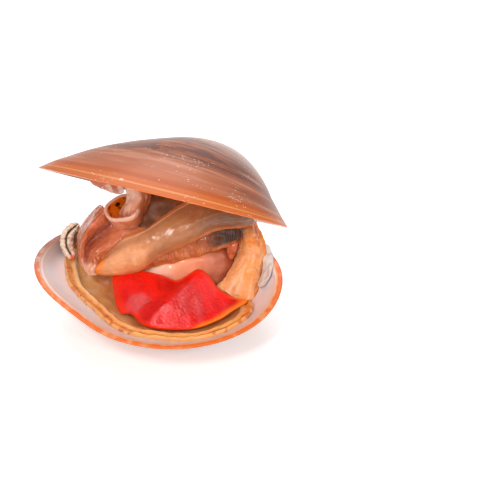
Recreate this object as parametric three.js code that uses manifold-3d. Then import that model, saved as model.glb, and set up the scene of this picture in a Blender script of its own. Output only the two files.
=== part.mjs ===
// A chocolate clam served open in its shell. The lower (left) valve lies on its back as a bowl, the upper
// (right) valve gapes above it, and the soft body fills the bowl: mantle, siphons, gill, foot and muscles.
// Millimetres, +Z up, +X to the right, +Y to the back, where the hinge is. The origin is the middle of the
// small worn flat under the lower valve, which is what the clam rests on.

import * as THREE from 'three';
import { mergeVertices } from 'three/addons/utils/BufferGeometryUtils.js';
import Module from 'manifold-3d';

const wasm = await Module();
wasm.setup();

// ---------------------------------------------------------------------------------------------------------
// Driving dimensions
// ---------------------------------------------------------------------------------------------------------

const SHELL_LENGTH = 90; // front end to siphon end
const SHELL_HEIGHT = 70.4; // hinge to lower edge, before the swellings
const OUTLINE_TURN = -0.133; // turn of the outline in its own plane, radians
// Swellings and flats of the outline: where (radians from the front end, hinge side positive), how much of
// the radius, and how far they spread.
const UMBO_PLACE = 1.148;
const OUTLINE_SWELLINGS = [
  { name: 'umbo', place: UMBO_PLACE, rise: 0.067, spread: 0.734 },
  { name: 'lunule', place: 0.583, rise: 0.059, spread: 0.413 },
  { name: 'escutcheon', place: 1.941, rise: -0.056, spread: 0.586 },
  { name: 'siphon end', place: 3.14, rise: 0.057, spread: 0.397 },
  { name: 'rear lower edge', place: -2.26, rise: -0.087, spread: 0.497 },
  { name: 'front lower edge', place: -1.052, rise: 0.022, spread: 0.545 },
];

const GROWTH = 1.016; // the shell shrinks by e for each GROWTH radians that its growth lines turn
const GROWTH_AXIS = 3.66; // height of the growth axis behind the hinge margin
const GROWTH_SKEW = -0.086; // sideways lean of the beaks
const WALL = 3; // shell wall in the middle of a valve
const RIM_WALL = 1.7; // shell wall at the edge
const LIP = 2.4; // width of the bare lip round the opening
const HINGE_PLATE = 4.5; // how much wider the lip is under the beak
const HINGE_SPREAD = 0.5; // how far along the rim the hinge plate reaches, radians
const CAVITY_SLOPE = 2.2; // steepest wall of the hollow under the beak, depth per mm

const GAP = 0.35; // clearance between pieces that lie on each other
const SOFT_GAP = 0.7; // clearance that one soft piece leaves round another
const MANTLE_GAP = 1.35; // clearance between the mantle and the wall, measured straight down

const MANTLE_INSET = 7.5; // bare shell between the rim and the mantle at the lower edge
const MANTLE_REAR_INSET = 4.5; // what is added to it at the siphon end
const MANTLE_HINGE_INSET = 17; // what is added to it under the beak
const MANTLE_BENDS = [
  { name: 'low front', place: -1.15, rise: 4, spread: 0.35 },
  { name: 'above the siphon end', place: 2.88, rise: -6.5, spread: 0.25 },
  { name: 'front', place: 0.5, rise: 7, spread: 0.3 },
];
const MANTLE_SHEET = 0.9;
const MANTLE_BAND = 0.3; // extra thickness of the band at the mantle's edge
const MANTLE_RIDGE = 1.3; // extra thickness of the fold inside the band
const MANTLE_RIDGE_AT = 4.4; // mm in from the mantle's edge
const MANTLE_REACH = 26; // where the mantle is narrower than this its rings draw closer together

// How the two valves are held: place of the hinge margin under the beak, and yaw, pitch and roll of the
// valve frame (x to the front end, y to the lower edge, z to the floor side), in degrees.
const LOWER_POSE = { place: [14.9, 18.9, 24.2], yaw: -26.9, pitch: 3.4, roll: -172.7 };
const UPPER_POSE = { place: [14.5, 19.3, 30.7], yaw: -25.6, pitch: -0.6, roll: 146.0 };

// The soft body is laid out in a frame that leans back with the gape: x across, y up the slope and z
// straight out of the gape.
const GAPE_LEAN = 58; // degrees
const GAPE_PLACE = [22.1, 15.0, 17.9];

// The ligament along the rim behind the beaks: rim angle, half its width from front to back, half its height.
const LIGAMENT = [
  { angle: 1.3, wide: 1.6, thick: 1.8 },
  { angle: 1.5, wide: 2.2, thick: 3 },
  { angle: 1.8, wide: 2.2, thick: 3.1 },
  { angle: 2.1, wide: 1.4, thick: 2 },
];
const LIGAMENT_BULGE = 0.6; // how far it stands out behind the rim

const LOWER = 1;
const UPPER = -1;

// ---------------------------------------------------------------------------------------------------------
// Solids from rings of points
// ---------------------------------------------------------------------------------------------------------

/** A closed body from rings of points; the first and last entries are single points, its poles. */
function closedBody(rings) {
  const around = rings[1].length;
  const positions = [];
  const starts = rings.map((ring) => {
    const start = positions.length / 3;
    ring.forEach((point) => positions.push(point.x, point.y, point.z));
    return start;
  });
  const triangles = [];
  for (let row = 0; row < rings.length - 1; row += 1) {
    for (let step = 0; step < around; step += 1) {
      const next = (step + 1) % around;
      const here = rings[row].length === 1 ? [0, 0] : [step, next];
      const there = rings[row + 1].length === 1 ? [0, 0] : [step, next];
      const corners = [starts[row] + here[0], starts[row] + here[1], starts[row + 1] + there[1],
        starts[row + 1] + there[0]];
      if (rings[row].length > 1) triangles.push(corners[0], corners[1], corners[2]);
      if (rings[row + 1].length > 1) triangles.push(corners[0], corners[2], corners[3]);
    }
  }
  const geometry = new THREE.BufferGeometry();
  geometry.setAttribute('position', new THREE.Float32BufferAttribute(positions, 3));
  geometry.setIndex(triangles);
  return facingOut(geometry);
}

/** Turns all triangles round if the body would otherwise be inside out. */
function facingOut(geometry) {
  const place = geometry.getAttribute('position');
  const index = geometry.getIndex();
  const [a, b, c] = [new THREE.Vector3(), new THREE.Vector3(), new THREE.Vector3()];
  let volume = 0;
  for (let corner = 0; corner < index.count; corner += 3) {
    a.fromBufferAttribute(place, index.getX(corner));
    b.fromBufferAttribute(place, index.getX(corner + 1));
    c.fromBufferAttribute(place, index.getX(corner + 2));
    volume += a.dot(b.cross(c)) / 6;
  }
  if (volume < 0) geometry.setIndex(Array.from(index.array).reverse());
  return geometry;
}

function solidOf(geometry) {
  const bare = geometry.clone();
  bare.deleteAttribute('normal');
  bare.deleteAttribute('uv');
  const merged = mergeVertices(bare);
  return new wasm.Manifold(new wasm.Mesh({
    numProp: 3,
    vertProperties: merged.getAttribute('position').array,
    triVerts: new Uint32Array(merged.getIndex().array),
  }));
}

function geometryOf(solid) {
  const mesh = solid.getMesh();
  const geometry = new THREE.BufferGeometry();
  geometry.setAttribute('position', new THREE.Float32BufferAttribute(mesh.vertProperties, mesh.numProp));
  geometry.setIndex(Array.from(mesh.triVerts));
  return geometry;
}

/** The largest of the separate bodies of a solid. */
function largestOf(solid) {
  return solid.decompose().reduce((best, part) => (part.volume() > best.volume() ? part : best));
}

// ---------------------------------------------------------------------------------------------------------
// The valve: its outline, its spiral outer surface and its hollow
// ---------------------------------------------------------------------------------------------------------

const TAU = 2 * Math.PI;

/** Sum of bell curves round the rim, each with its place, rise and spread. */
function bellsAt(angle, bells) {
  return bells.reduce((sum, { place, rise, spread }) => {
    const away = THREE.MathUtils.euclideanModulo(angle - place + Math.PI, TAU) - Math.PI;
    return sum + rise * Math.exp(-((away / spread) ** 2));
  }, 0);
}

function rawRadius(angle) {
  const flat = Math.hypot(Math.cos(angle) / SHELL_LENGTH, Math.sin(angle) / SHELL_HEIGHT);
  return (1 + bellsAt(angle, OUTLINE_SWELLINGS)) / (2 * flat);
}

function measuredLength() {
  const across = Array.from({ length: 720 }, (_, step) => {
    const angle = (step / 720) * TAU;
    return rawRadius(angle) * Math.cos(angle);
  });
  return Math.max(...across) - Math.min(...across);
}

const OUTLINE_SCALE = SHELL_LENGTH / measuredLength();

/** Radius of the outline about its middle, at an angle from the front end. */
function outlineRadius(angle) {
  return rawRadius(angle) * OUTLINE_SCALE;
}

const UMBO = new THREE.Vector2(Math.cos(UMBO_PLACE), Math.sin(UMBO_PLACE))
  .multiplyScalar(outlineRadius(UMBO_PLACE));

/** From the outline's own plane to the valve frame, whose origin is the hinge margin under the beak. */
function toValve(x, y) {
  return new THREE.Vector2(x - UMBO.x, UMBO.y - y).rotateAround(new THREE.Vector2(), OUTLINE_TURN);
}

function fromValve(x, y) {
  const turned = new THREE.Vector2(x, y).rotateAround(new THREE.Vector2(), -OUTLINE_TURN);
  return new THREE.Vector2(turned.x + UMBO.x, UMBO.y - turned.y);
}

const MIDDLE = toValve(0, 0);

/** Point of the valve's plane a share of the way out from the middle, less an inset from the rim. */
function planePoint(angle, share, inset = 0) {
  const reach = (outlineRadius(angle) - inset) * share;
  return toValve(reach * Math.cos(angle), reach * Math.sin(angle));
}

/** The growth line that has turned by an angle from the rim: a smaller, turned copy of the rim. */
function growthRing(turn, angles, side) {
  const size = Math.exp(-turn / GROWTH);
  const lean = (GROWTH_SKEW * turn) / GROWTH;
  return angles.map((angle) => {
    const rim = planePoint(angle, 1);
    const across = Math.cos(lean) * rim.x + Math.sin(lean) * (rim.y + GROWTH_AXIS);
    const out = Math.cos(lean) * (rim.y + GROWTH_AXIS) - Math.sin(lean) * rim.x;
    const depth = size * out * Math.sin(turn);
    return new THREE.Vector3(size * across, size * out * Math.cos(turn) - GROWTH_AXIS, side * depth);
  });
}

/** Whether a point of the valve frame is inside the spiral outer surface. */
function isInside(x, y, depth) {
  const turn = Math.atan2(depth, y + GROWTH_AXIS);
  const size = Math.exp(-turn / GROWTH);
  const lean = (GROWTH_SKEW * turn) / GROWTH;
  const across = x / size;
  const out = Math.hypot(depth, y + GROWTH_AXIS) / size;
  const rimX = Math.cos(lean) * across - Math.sin(lean) * out;
  const rimY = Math.sin(lean) * across + Math.cos(lean) * out - GROWTH_AXIS;
  const plane = fromValve(rimX, rimY);
  return plane.length() < outlineRadius(Math.atan2(plane.y, plane.x));
}

/** Depth of the outer surface behind a point of the valve's plane, found by halving. */
function outerDepth(x, y) {
  let near = 0;
  let far = SHELL_HEIGHT / 2;
  for (let step = 0; step < 24; step += 1) {
    const half = (near + far) / 2;
    if (isInside(x, y, half)) near = half;
    else far = half;
  }
  return near;
}

/** Distance from the rim to the inner edge of the lip, which widens to the hinge plate under the beak. */
function lipWidth(angle) {
  return LIP + HINGE_PLATE * Math.exp(-(((angle - UMBO_PLACE) / HINGE_SPREAD) ** 2));
}

/** Depth of the hollow at a share of the way from the middle to the lip. */
function hollowDepth(angle, share) {
  const { x, y } = planePoint(angle, share, lipWidth(angle));
  const outer = outerDepth(x, y);
  const probe = 0.5;
  const slopeX = (outerDepth(x + probe, y) - outer) / probe;
  const slopeY = (outerDepth(x, y + probe) - outer) / probe;
  const wall = THREE.MathUtils.lerp(WALL, RIM_WALL, share ** 3);
  const straight = outer - wall * Math.hypot(1, slopeX, slopeY);
  const fromLip = (outlineRadius(angle) - lipWidth(angle)) * (1 - share);
  return Math.max(0, Math.min(straight, fromLip * CAVITY_SLOPE));
}

function anglesRound(count) {
  return Array.from({ length: count }, (_, step) => (step / count) * TAU - Math.PI);
}

/** A ring of the hollow, which may be moved off the wall by a clearance. */
function hollowRing(share, angles, side, clearance = 0) {
  return angles.map((angle) => {
    const { x, y } = planePoint(angle, share, lipWidth(angle) + clearance);
    return new THREE.Vector3(x, y, side * (hollowDepth(angle, share) - clearance));
  });
}

const VALVE_AROUND = 38;
const OUTER_RINGS = 12;
const HOLLOW_SHARES = [0.2, 0.4, 0.58, 0.74, 0.87, 0.94, 0.98];

/** The valve's wall with its clearance and everything outside it, used to cut what lies in the valve. */
function wallBlock(side) {
  const angles = anglesRound(VALVE_AROUND);
  const ringAt = (depth, placeOf) => angles.map((angle) => {
    const { x, y } = placeOf(angle);
    return new THREE.Vector3(x, y, side * depth);
  });
  return closedBody([
    [new THREE.Vector3(MIDDLE.x, MIDDLE.y, side * (hollowDepth(0, 0) - GAP))],
    ...HOLLOW_SHARES.map((share) => hollowRing(share, angles, side, GAP)),
    ringAt(-GAP, (angle) => planePoint(angle, 1, lipWidth(angle) + GAP)),
    ringAt(-GAP, (angle) => planePoint(angle, 1, -1)),
    ringAt(SHELL_HEIGHT, (angle) => planePoint(angle, 1, -12)),
    [new THREE.Vector3(MIDDLE.x, MIDDLE.y, side * SHELL_HEIGHT)],
  ]);
}

function valveBody(side) {
  const angles = anglesRound(VALVE_AROUND);
  const outer = Array.from({ length: OUTER_RINGS + 1 }, (_, ring) => (
    growthRing(Math.PI * (ring / OUTER_RINGS) ** 1.3, angles, side)));
  const tip = outer.at(-1).reduce((sum, point) => sum.add(point), new THREE.Vector3());
  const lip = angles.map((angle) => {
    const { x, y } = planePoint(angle, 1, lipWidth(angle));
    return new THREE.Vector3(x, y, 0);
  });
  return closedBody([
    [new THREE.Vector3(MIDDLE.x, MIDDLE.y, side * hollowDepth(0, 0))],
    ...HOLLOW_SHARES.map((share) => hollowRing(share, angles, side)),
    lip,
    ...outer,
    [tip.divideScalar(VALVE_AROUND)],
  ]);
}

// ---------------------------------------------------------------------------------------------------------
// The mantle: a thin sheet that lines the hollow, with a thick edge
// ---------------------------------------------------------------------------------------------------------

/** Distance from the rim to the mantle's edge. */
function mantleInset(angle) {
  const atRear = Math.max(0, -Math.cos(angle)) ** 2;
  const atHinge = Math.max(0, Math.sin(angle)) ** 3;
  return MANTLE_INSET + MANTLE_REAR_INSET * atRear + MANTLE_HINGE_INSET * atHinge
    + bellsAt(angle, MANTLE_BENDS);
}

/** The mantle's edge as a share of the way from the middle to the lip. */
function mantleShare(angle) {
  return (outlineRadius(angle) - mantleInset(angle)) / (outlineRadius(angle) - lipWidth(angle));
}

/** Thickness of the mantle at a distance in from its edge. */
function mantleThickness(inFromEdge) {
  const band = MANTLE_BAND * Math.exp(-((inFromEdge / 2) ** 2));
  const ridge = MANTLE_RIDGE * Math.exp(-(((inFromEdge - MANTLE_RIDGE_AT) / 1.1) ** 2));
  return MANTLE_SHEET + band + ridge;
}

const MANTLE_TOP_INSETS = [0.6, 2.6, 4.4, 6, 9, 15, 22];
const MANTLE_BACK_INSETS = [5, 12, 22];

/** A ring of the mantle at a distance in from its edge, raised off the wall by what raiseOf says. */
function mantleRing(inset, angles, side, raiseOf) {
  return angles.map((angle) => {
    const reach = outlineRadius(angle) - mantleInset(angle);
    const share = mantleShare(angle) * (1 - inset / Math.max(reach, MANTLE_REACH));
    const { x, y } = planePoint(angle, share, lipWidth(angle));
    return new THREE.Vector3(x, y, side * (hollowDepth(angle, share) - raiseOf(inset)));
  });
}

function mantleBody(side) {
  const angles = anglesRound(VALVE_AROUND);
  const middleDepth = hollowDepth(0, 0);
  const top = (inset) => MANTLE_GAP + mantleThickness(inset);
  const pole = (raise) => [new THREE.Vector3(MIDDLE.x, MIDDLE.y, side * (middleDepth - raise))];
  return closedBody([
    pole(MANTLE_GAP),
    ...MANTLE_BACK_INSETS.toReversed().map((inset) => mantleRing(inset, angles, side, () => MANTLE_GAP)),
    mantleRing(0, angles, side, () => MANTLE_GAP),
    ...MANTLE_TOP_INSETS.map((inset) => mantleRing(inset, angles, side, top)),
    pole(MANTLE_GAP + MANTLE_SHEET),
  ]);
}

/** The mantle with its clearance and everything on the wall side of it, used to cut the soft body. */
function mantleBlock(side) {
  const angles = anglesRound(VALVE_AROUND);
  const top = (inset) => MANTLE_GAP + GAP + mantleThickness(inset);
  const edge = mantleRing(-GAP, angles, side, top);
  return closedBody([
    [new THREE.Vector3(MIDDLE.x, MIDDLE.y, side * (hollowDepth(0, 0) - MANTLE_GAP - GAP - MANTLE_SHEET))],
    ...MANTLE_TOP_INSETS.toReversed().map((inset) => mantleRing(inset, angles, side, top)),
    edge,
    edge.map(({ x, y }) => new THREE.Vector3(x, y, side * SHELL_HEIGHT)),
    [new THREE.Vector3(MIDDLE.x, MIDDLE.y, side * SHELL_HEIGHT)],
  ]);
}

// ---------------------------------------------------------------------------------------------------------
// Soft pieces: flattened tubes that swell and turn along a path
// ---------------------------------------------------------------------------------------------------------

const OUT = new THREE.Vector3(0, 0, 1);

/**
 * A soft piece along a path. Each station is a place on the path, half the width across it, half the
 * thickness out of the gape, and a roll in degrees about the path.
 */
function softBody({ stations, around = 12, along = 12, ends = 0.16 }, grow = 0) {
  const path = new THREE.CatmullRomCurve3(
    stations.map(({ at }) => new THREE.Vector3(...at)), false, 'catmullrom');
  const section = new THREE.CatmullRomCurve3(
    stations.map(({ wide, thick, roll = 0 }) => new THREE.Vector3(wide, thick, roll)), false, 'catmullrom');
  const rings = [];
  for (let row = 0; row <= along; row += 1) {
    const t = row / along;
    const centre = path.getPoint(t);
    const tangent = path.getTangent(t);
    const fromEnd = Math.min(t, 1 - t);
    if (row === 0 || row === along) {
      rings.push([centre.addScaledVector(tangent, row === 0 ? -grow : grow)]);
      continue;
    }
    const swell = Math.sqrt(1 - (1 - Math.min(1, fromEnd / ends)) ** 2);
    const { x: wide, y: thick, z: roll } = section.getPoint(t);
    const across = new THREE.Vector3().crossVectors(tangent, OUT).normalize();
    across.applyAxisAngle(tangent, THREE.MathUtils.degToRad(roll));
    const out = new THREE.Vector3().crossVectors(across, tangent);
    rings.push(anglesRound(around).map((angle) => centre.clone()
      .addScaledVector(across, (wide * swell + grow) * Math.cos(angle))
      .addScaledVector(out, (thick * swell + grow) * Math.sin(angle))));
  }
  return closedBody(rings);
}

const SIDE_POWER = 0.9; // rounds the two edges of a sheet's section
const END_POWER = 4; // keeps the growth along a sheet close to its ends

/** A number raised to a power with its sign kept. */
function signedPower(value, power) {
  return Math.sign(value) * Math.abs(value) ** power;
}

function curveThrough(points) {
  return new THREE.CatmullRomCurve3(points, false, 'catmullrom');
}

/**
 * A slack sheet of flesh. Each row holds places across its face; curves run along the columns and then
 * across them. The back lies `thick` behind the face, into the gape, and `square` says how blunt the edge is.
 */
function sheetBody({ rows, thick, square = 0.55, around = 12, along = 12, ends = 0.04 }, grow = 0) {
  const columns = rows[0].map((_, column) => (
    curveThrough(rows.map((row) => new THREE.Vector3(...row[column])))));
  const clamped = (share) => THREE.MathUtils.clamp(share, 0, 1);
  const rowAt = (t) => curveThrough(columns.map((curve) => curve.getPoint(clamped(t))));
  const faceAt = (t, v) => rowAt(t).getPoint(clamped(v));
  const probe = 0.01;
  const tangents = (t, v) => [
    faceAt(t + probe, v).sub(faceAt(t - probe, v)).normalize(),
    faceAt(t, v + probe).sub(faceAt(t, v - probe)).normalize(),
  ];
  const rings = [];
  for (let row = 0; row <= along; row += 1) {
    const t = (1 - Math.cos((row / along) * Math.PI)) / 2;
    if (row === 0 || row === along) {
      const [run] = tangents(t, 0.5);
      rings.push([faceAt(t, 0.5).addScaledVector(run, row === 0 ? -grow : grow)]);
      continue;
    }
    const swell = Math.sqrt(1 - (1 - Math.min(1, Math.min(t, 1 - t) / ends)) ** 2);
    rings.push(anglesRound(around).map((angle) => {
      const side = signedPower(Math.cos(angle), SIDE_POWER);
      const rise = signedPower(Math.sin(angle), square);
      const v = 0.5 + 0.5 * swell * side;
      const [run, across] = tangents(t, v);
      return faceAt(t, v)
        .addScaledVector(OUT, 0.5 * thick * (rise - 1) * swell + grow * rise)
        .addScaledVector(across, grow * side)
        .addScaledVector(run, grow * signedPower(2 * t - 1, END_POWER));
    }));
  }
  return closedBody(rings);
}

const MANTLE_FOLD = {
  thick: 3,
  along: 14,
  ends: 0.05,
  rows: [
    [[-56, -8.8, 19], [-54.6, -7, 21], [-53, -4.4, 21.4], [-51.4, -2, 19]],
    [[-51.6, -9, 19.8], [-50.2, -5.6, 23], [-49.4, -2.2, 23.4], [-48.6, 1, 20.4]],
    [[-45, -8.6, 20.6], [-44.2, -4, 25], [-44.2, 0.4, 25.4], [-44.4, 4.2, 22]],
    [[-38.6, -7.6, 21], [-38, -2.2, 26.2], [-38.2, 2.6, 26.6], [-39.2, 6.6, 23]],
    [[-34.2, -4.2, 22.6], [-33.6, 0.6, 27.6], [-33.6, 5.4, 27.4], [-35, 8.6, 24]],
    [[-27.2, -0.2, 24], [-27, 4.8, 28.4], [-27.4, 9.6, 27.4], [-29.4, 12.8, 24.2]],
    [[-19.2, 2.8, 23.8], [-19.6, 8.2, 26.8], [-20.8, 13.2, 25.6], [-23.6, 17, 22.6]],
    [[-12.2, 6.4, 21], [-12.4, 11.4, 23.6], [-13.6, 16.8, 22.4], [-16.6, 20.6, 20]],
    [[-4, 7.8, 17.6], [-4, 12.8, 19.4], [-5.6, 18.6, 18.2], [-8.6, 22.6, 16]],
    [[2, 8.6, 12.6], [2, 14, 14.6], [1, 20, 14.6], [-1.6, 24, 13]],
  ],
};

const GILL = {
  thick: 1.8,
  along: 10,
  around: 10,
  ends: 0.03,
  rows: [
    [[-39, -7.3, 18.6], [-39.4, -6, 19.2], [-39.8, -4.8, 19.2]],
    [[-33.7, -6.1, 19.2], [-34.5, -4.4, 20.4], [-35.4, -2.8, 20.6]],
    [[-26.6, -4.5, 19.6], [-27.8, -1.6, 21], [-29, 1.1, 21.6]],
    [[-19.5, -2.5, 19.2], [-20.7, 1, 20.8], [-22, 4.3, 21.6]],
    [[-13.5, -0.6, 18], [-14.6, 3.7, 19.6], [-15.7, 7.8, 20.2]],
    [[-7.8, 1, 16], [-9, 5.8, 17.6], [-10, 10.4, 18.2]],
    [[-3, 2.2, 13.4], [-3.2, 7.2, 15], [-3.4, 11.8, 15.8]],
  ],
};

const VISCERAL_MASS = {
  around: 14,
  along: 10,
  stations: [
    { at: [-47, -7, 8], wide: 4, thick: 4 },
    { at: [-38, -6.5, 9], wide: 8, thick: 7 },
    { at: [-26, -6, 10], wide: 10.5, thick: 8.5 },
    { at: [-15, -5, 8.5], wide: 10.5, thick: 8 },
    { at: [-7, -4, 4], wide: 8, thick: 6 },
    { at: [-2, -3, 1], wide: 4, thick: 4 },
  ],
};

const SIPHON_BODY = {
  thick: 3.8,
  square: 0.7,
  around: 14,
  along: 11,
  ends: 0.035,
  rows: [
    [[-60.2, -6.2, 14.6], [-58.4, -8, 17.6], [-56.6, -9, 18.8], [-54.6, -9.2, 19], [-52, -9, 17.4]],
    [[-61.6, -4, 13.6], [-59.8, -4.6, 19], [-57.6, -5, 20], [-54.8, -5.2, 20.2], [-51, -5.4, 17.6]],
    [[-62.2, 0, 12.6], [-60.4, -0.2, 18.6], [-58, -0.6, 17.4], [-54.4, -1.2, 19.6], [-48.6, -2, 18]],
    [[-62.2, 4.8, 12], [-59.4, 4.2, 19], [-56.2, 2.8, 14.6], [-51.6, 1.2, 19.4], [-44.8, -0.2, 19]],
    [[-61, 9, 11], [-57, 7.8, 19.8], [-53.6, 5.6, 14], [-48.6, 3.6, 19], [-41.2, 2.4, 20]],
    [[-57.4, 13.4, 11], [-53.8, 11.6, 20], [-50.4, 8.6, 16], [-45.2, 6.6, 19], [-37.6, 5.2, 20.4]],
    [[-53.2, 17.2, 12.6], [-51, 14.8, 18.6], [-47.8, 12, 15.4], [-43, 9.8, 17.4], [-35.6, 8, 19]],
  ],
};

const SIPHON_TIP = {
  along: 10,
  around: 10,
  stations: [
    { at: [-62.6, 9.6, 3.5], wide: 1.7, thick: 1.8 },
    { at: [-66, 5.8, 6], wide: 2.2, thick: 2.1 },
    { at: [-66, 1.4, 9.4], wide: 2.2, thick: 2.1 },
    { at: [-63.4, -3, 12.4], wide: 1.7, thick: 1.8 },
  ],
};

const MUSCLE_STRAND = {
  thick: 2,
  around: 10,
  along: 10,
  ends: 0.06,
  rows: [
    [[-45.6, 11.4, 18.6], [-43.6, 11.4, 20.6], [-41.2, 11.2, 21], [-39.2, 11.4, 19]],
    [[-46.4, 13, 19.4], [-43.6, 13, 22.2], [-40, 12.8, 23], [-37.2, 13.2, 20]],
    [[-45.2, 15, 20.8], [-42.6, 15.4, 24], [-39, 15.4, 24.8], [-35.8, 15.6, 21.4]],
    [[-43.4, 17.8, 23], [-41, 18.2, 26], [-38, 18.4, 26.2], [-35, 18.6, 22.6]],
    [[-43.8, 21.4, 24.6], [-41.6, 21.8, 27], [-38.6, 22, 27], [-35, 22, 24]],
    [[-46, 26.6, 25], [-43.4, 27.4, 27.4], [-39, 28, 27.4], [-34.6, 28, 25]],
    [[-47, 36, 25], [-44, 36.6, 26.6], [-39, 37, 26.6], [-34.6, 37, 25]],
  ],
};

const INNER_MANTLE = {
  thick: 5,
  around: 10,
  along: 10,
  ends: 0.06,
  rows: [
    [[-46, 3, 11], [-45, 9, 12.6], [-44, 16, 12.6], [-42, 22, 11]],
    [[-40, 3, 15], [-39, 9, 17], [-38.6, 16, 18], [-38, 24, 17]],
    [[-33, 4, 17], [-32.4, 10, 19.6], [-32.4, 17, 19.6], [-32, 25, 18]],
    [[-25, 7, 17], [-24.6, 13, 19], [-24.6, 19, 19], [-25, 27, 17]],
    [[-16, 10, 15], [-16, 16, 16], [-16.6, 22, 15.6], [-17, 29, 14]],
    [[-6, 12, 11], [-6, 17, 12], [-6.6, 23, 12], [-7, 30, 11]],
  ],
};

const ADDUCTOR = {
  thick: 2.6,
  along: 13,
  ends: 0.03,
  rows: [
    [[-12.6, -13.6, 17], [-8, -15.8, 18], [-3.6, -17.4, 18], [0.4, -18.2, 17.4], [3, -17.6, 15.4]],
    [[-9.6, -10.6, 16.4], [-5.8, -11.2, 18], [-2.4, -12, 18], [1, -12.8, 17.2], [3.8, -12.8, 15]],
    [[-6.8, -6.6, 14.6], [-4, -6.8, 17], [-1.2, -7.2, 17.8], [1.8, -8, 16.8], [4.6, -8.6, 14.4]],
    [[-5.4, -2.6, 13], [-2.8, -2.6, 15.8], [-0.2, -2.8, 16.8], [2.8, -3.6, 16], [6, -4.2, 13.4]],
    [[-4.6, 1.4, 12], [-2, 1.4, 15], [0.4, 1.2, 16], [3.2, 0.8, 15], [6, 0.2, 12.4]],
    [[-4, 5.6, 11], [-1.8, 5.8, 13.8], [0.2, 5.8, 14.8], [2.6, 5.2, 14], [5, 4.4, 11]],
    [[-3.2, 9.2, 10], [-1.8, 9.2, 12.6], [-0.4, 9.2, 13.2], [1, 9, 12.6], [2.4, 8.6, 10]],
    [[-3.4, 13.4, 9.6], [-2, 13.6, 12], [-0.6, 13.6, 12.6], [1, 13.4, 12], [2.6, 13, 10]],
    [[-4.4, 18, 9], [-2.4, 18.4, 11], [-0.6, 18.4, 11.6], [1.4, 18, 11], [3.4, 17.6, 9]],
  ],
};

const PALP = {
  along: 8,
  around: 10,
  stations: [
    { at: [-5.2, 3.4, 15.5], wide: 1, thick: 0.7 },
    { at: [-6.2, 0.4, 14.8], wide: 1.8, thick: 0.9 },
    { at: [-6.8, -3.4, 13.6], wide: 1.1, thick: 0.7 },
  ],
};

const TORN_FLAP = {
  thick: 0.8,
  along: 8,
  around: 8,
  ends: 0.08,
  rows: [
    [[-58.6, 29, 10], [-58, 26, 11.4], [-57.4, 23.6, 12]],
    [[-54.4, 27, 12], [-54, 24.2, 13.4], [-53.4, 21.9, 13.8]],
    [[-50.8, 25.4, 14], [-50.2, 22.8, 15], [-49.6, 20.4, 15.2]],
    [[-47.6, 24, 15.6], [-47, 21.6, 16.6], [-46.6, 19.7, 16.6]],
    [[-45.4, 22.6, 17], [-44.8, 21.2, 17.6], [-44.6, 20.3, 17.4]],
  ],
};

const MANTLE_FILM = {
  thick: 0.9,
  along: 8,
  around: 8,
  ends: 0.08,
  rows: [
    [[3.6, 2.5, 9.5], [5, 2.5, 10], [6.5, 2.2, 10.4]],
    [[4.3, 0, 11.8], [6.1, -0.4, 12.6], [7.9, -0.7, 12.8]],
    [[4.5, -2.5, 13.8], [6.6, -3, 15], [8.4, -3.6, 15.6]],
    [[4.6, -5.7, 14.8], [6.7, -6, 17.6], [8, -6.4, 18.4]],
    [[3.9, -9.3, 15.4], [5.7, -9.6, 18], [6.9, -9.7, 20]],
    [[2.1, -12.8, 16.6], [3.5, -13.1, 19.4], [4.6, -13.1, 21]],
  ],
};

// ---------------------------------------------------------------------------------------------------------
// The foot: a lobed cushion with a ridge that runs up to a peak
// ---------------------------------------------------------------------------------------------------------

const FOOT_MIDDLE = new THREE.Vector3(-24, -18, 24);
const FOOT_LEAN = 0.43; // how far the foot leans back for each mm up
const FOOT_CROWN = 2.4; // how much its two ends lie lower than its middle
const FOOT_HALF_LENGTH = 24;
const FOOT_EDGE = 1.3; // thickness at the edge
const FOOT_BODY = 3; // extra thickness in the middle
const FOOT_PEAK = new THREE.Vector2(6.1, 10.5); // top of the ridge, from the middle
const FOOT_RIDGE_TURN = Math.PI / 4; // the ridge runs down to the left from the peak
const FOOT_RIDGE = { rise: 4.6, steep: 3.4, gentle: 8, length: 26 };
const FOOT_LOBE = { x: -17, y: 3.5, rise: 2.6, wide: 9, high: 7 };
// The edge, from the left corner round over the peak, the right tip and the lower edge.
const FOOT_EDGE_POINTS = [
  [-24.2, 9.8], [-15, 10.6], [-7.5, 9.2], [-2, 7.4], [2.4, 9.6], [6.2, 11.4], [10, 8.6], [13, 4.4],
  [18.4, 1.4], [23.2, 0], [18.4, -3.2], [12.6, -6.8], [4, -9.6], [-5, -9.8], [-13, -8.4], [-17.6, -4.6],
  [-21.8, -4], [-24, 2],
];

function footEdge() {
  const points = FOOT_EDGE_POINTS.map(([x, y]) => new THREE.Vector3(x, y, 0));
  return new THREE.CatmullRomCurve3(points, true, 'catmullrom');
}

/** How far the foot's upper face stands out at a point given from its middle. */
function footRise(x, y) {
  const [cos, sin] = [Math.cos(FOOT_RIDGE_TURN), Math.sin(FOOT_RIDGE_TURN)];
  const across = (x - FOOT_PEAK.x) * sin - (y - FOOT_PEAK.y) * cos;
  const down = -(x - FOOT_PEAK.x) * cos - (y - FOOT_PEAK.y) * sin;
  const flank = across < 0 ? FOOT_RIDGE.steep : FOOT_RIDGE.gentle;
  const ridge = FOOT_RIDGE.rise * Math.exp(-((across / flank) ** 2) - (down / FOOT_RIDGE.length) ** 2);
  const { rise, wide, high } = FOOT_LOBE;
  const lobe = rise * Math.exp(-(((x - FOOT_LOBE.x) / wide) ** 2) - ((y - FOOT_LOBE.y) / high) ** 2);
  const crown = FOOT_CROWN * (x / FOOT_HALF_LENGTH) ** 2;
  return ridge + lobe - crown - FOOT_LEAN * y;
}

const FOOT_AROUND = 32;
const FOOT_SHARES = [0.25, 0.5, 0.75, 0.92, 1];

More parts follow.
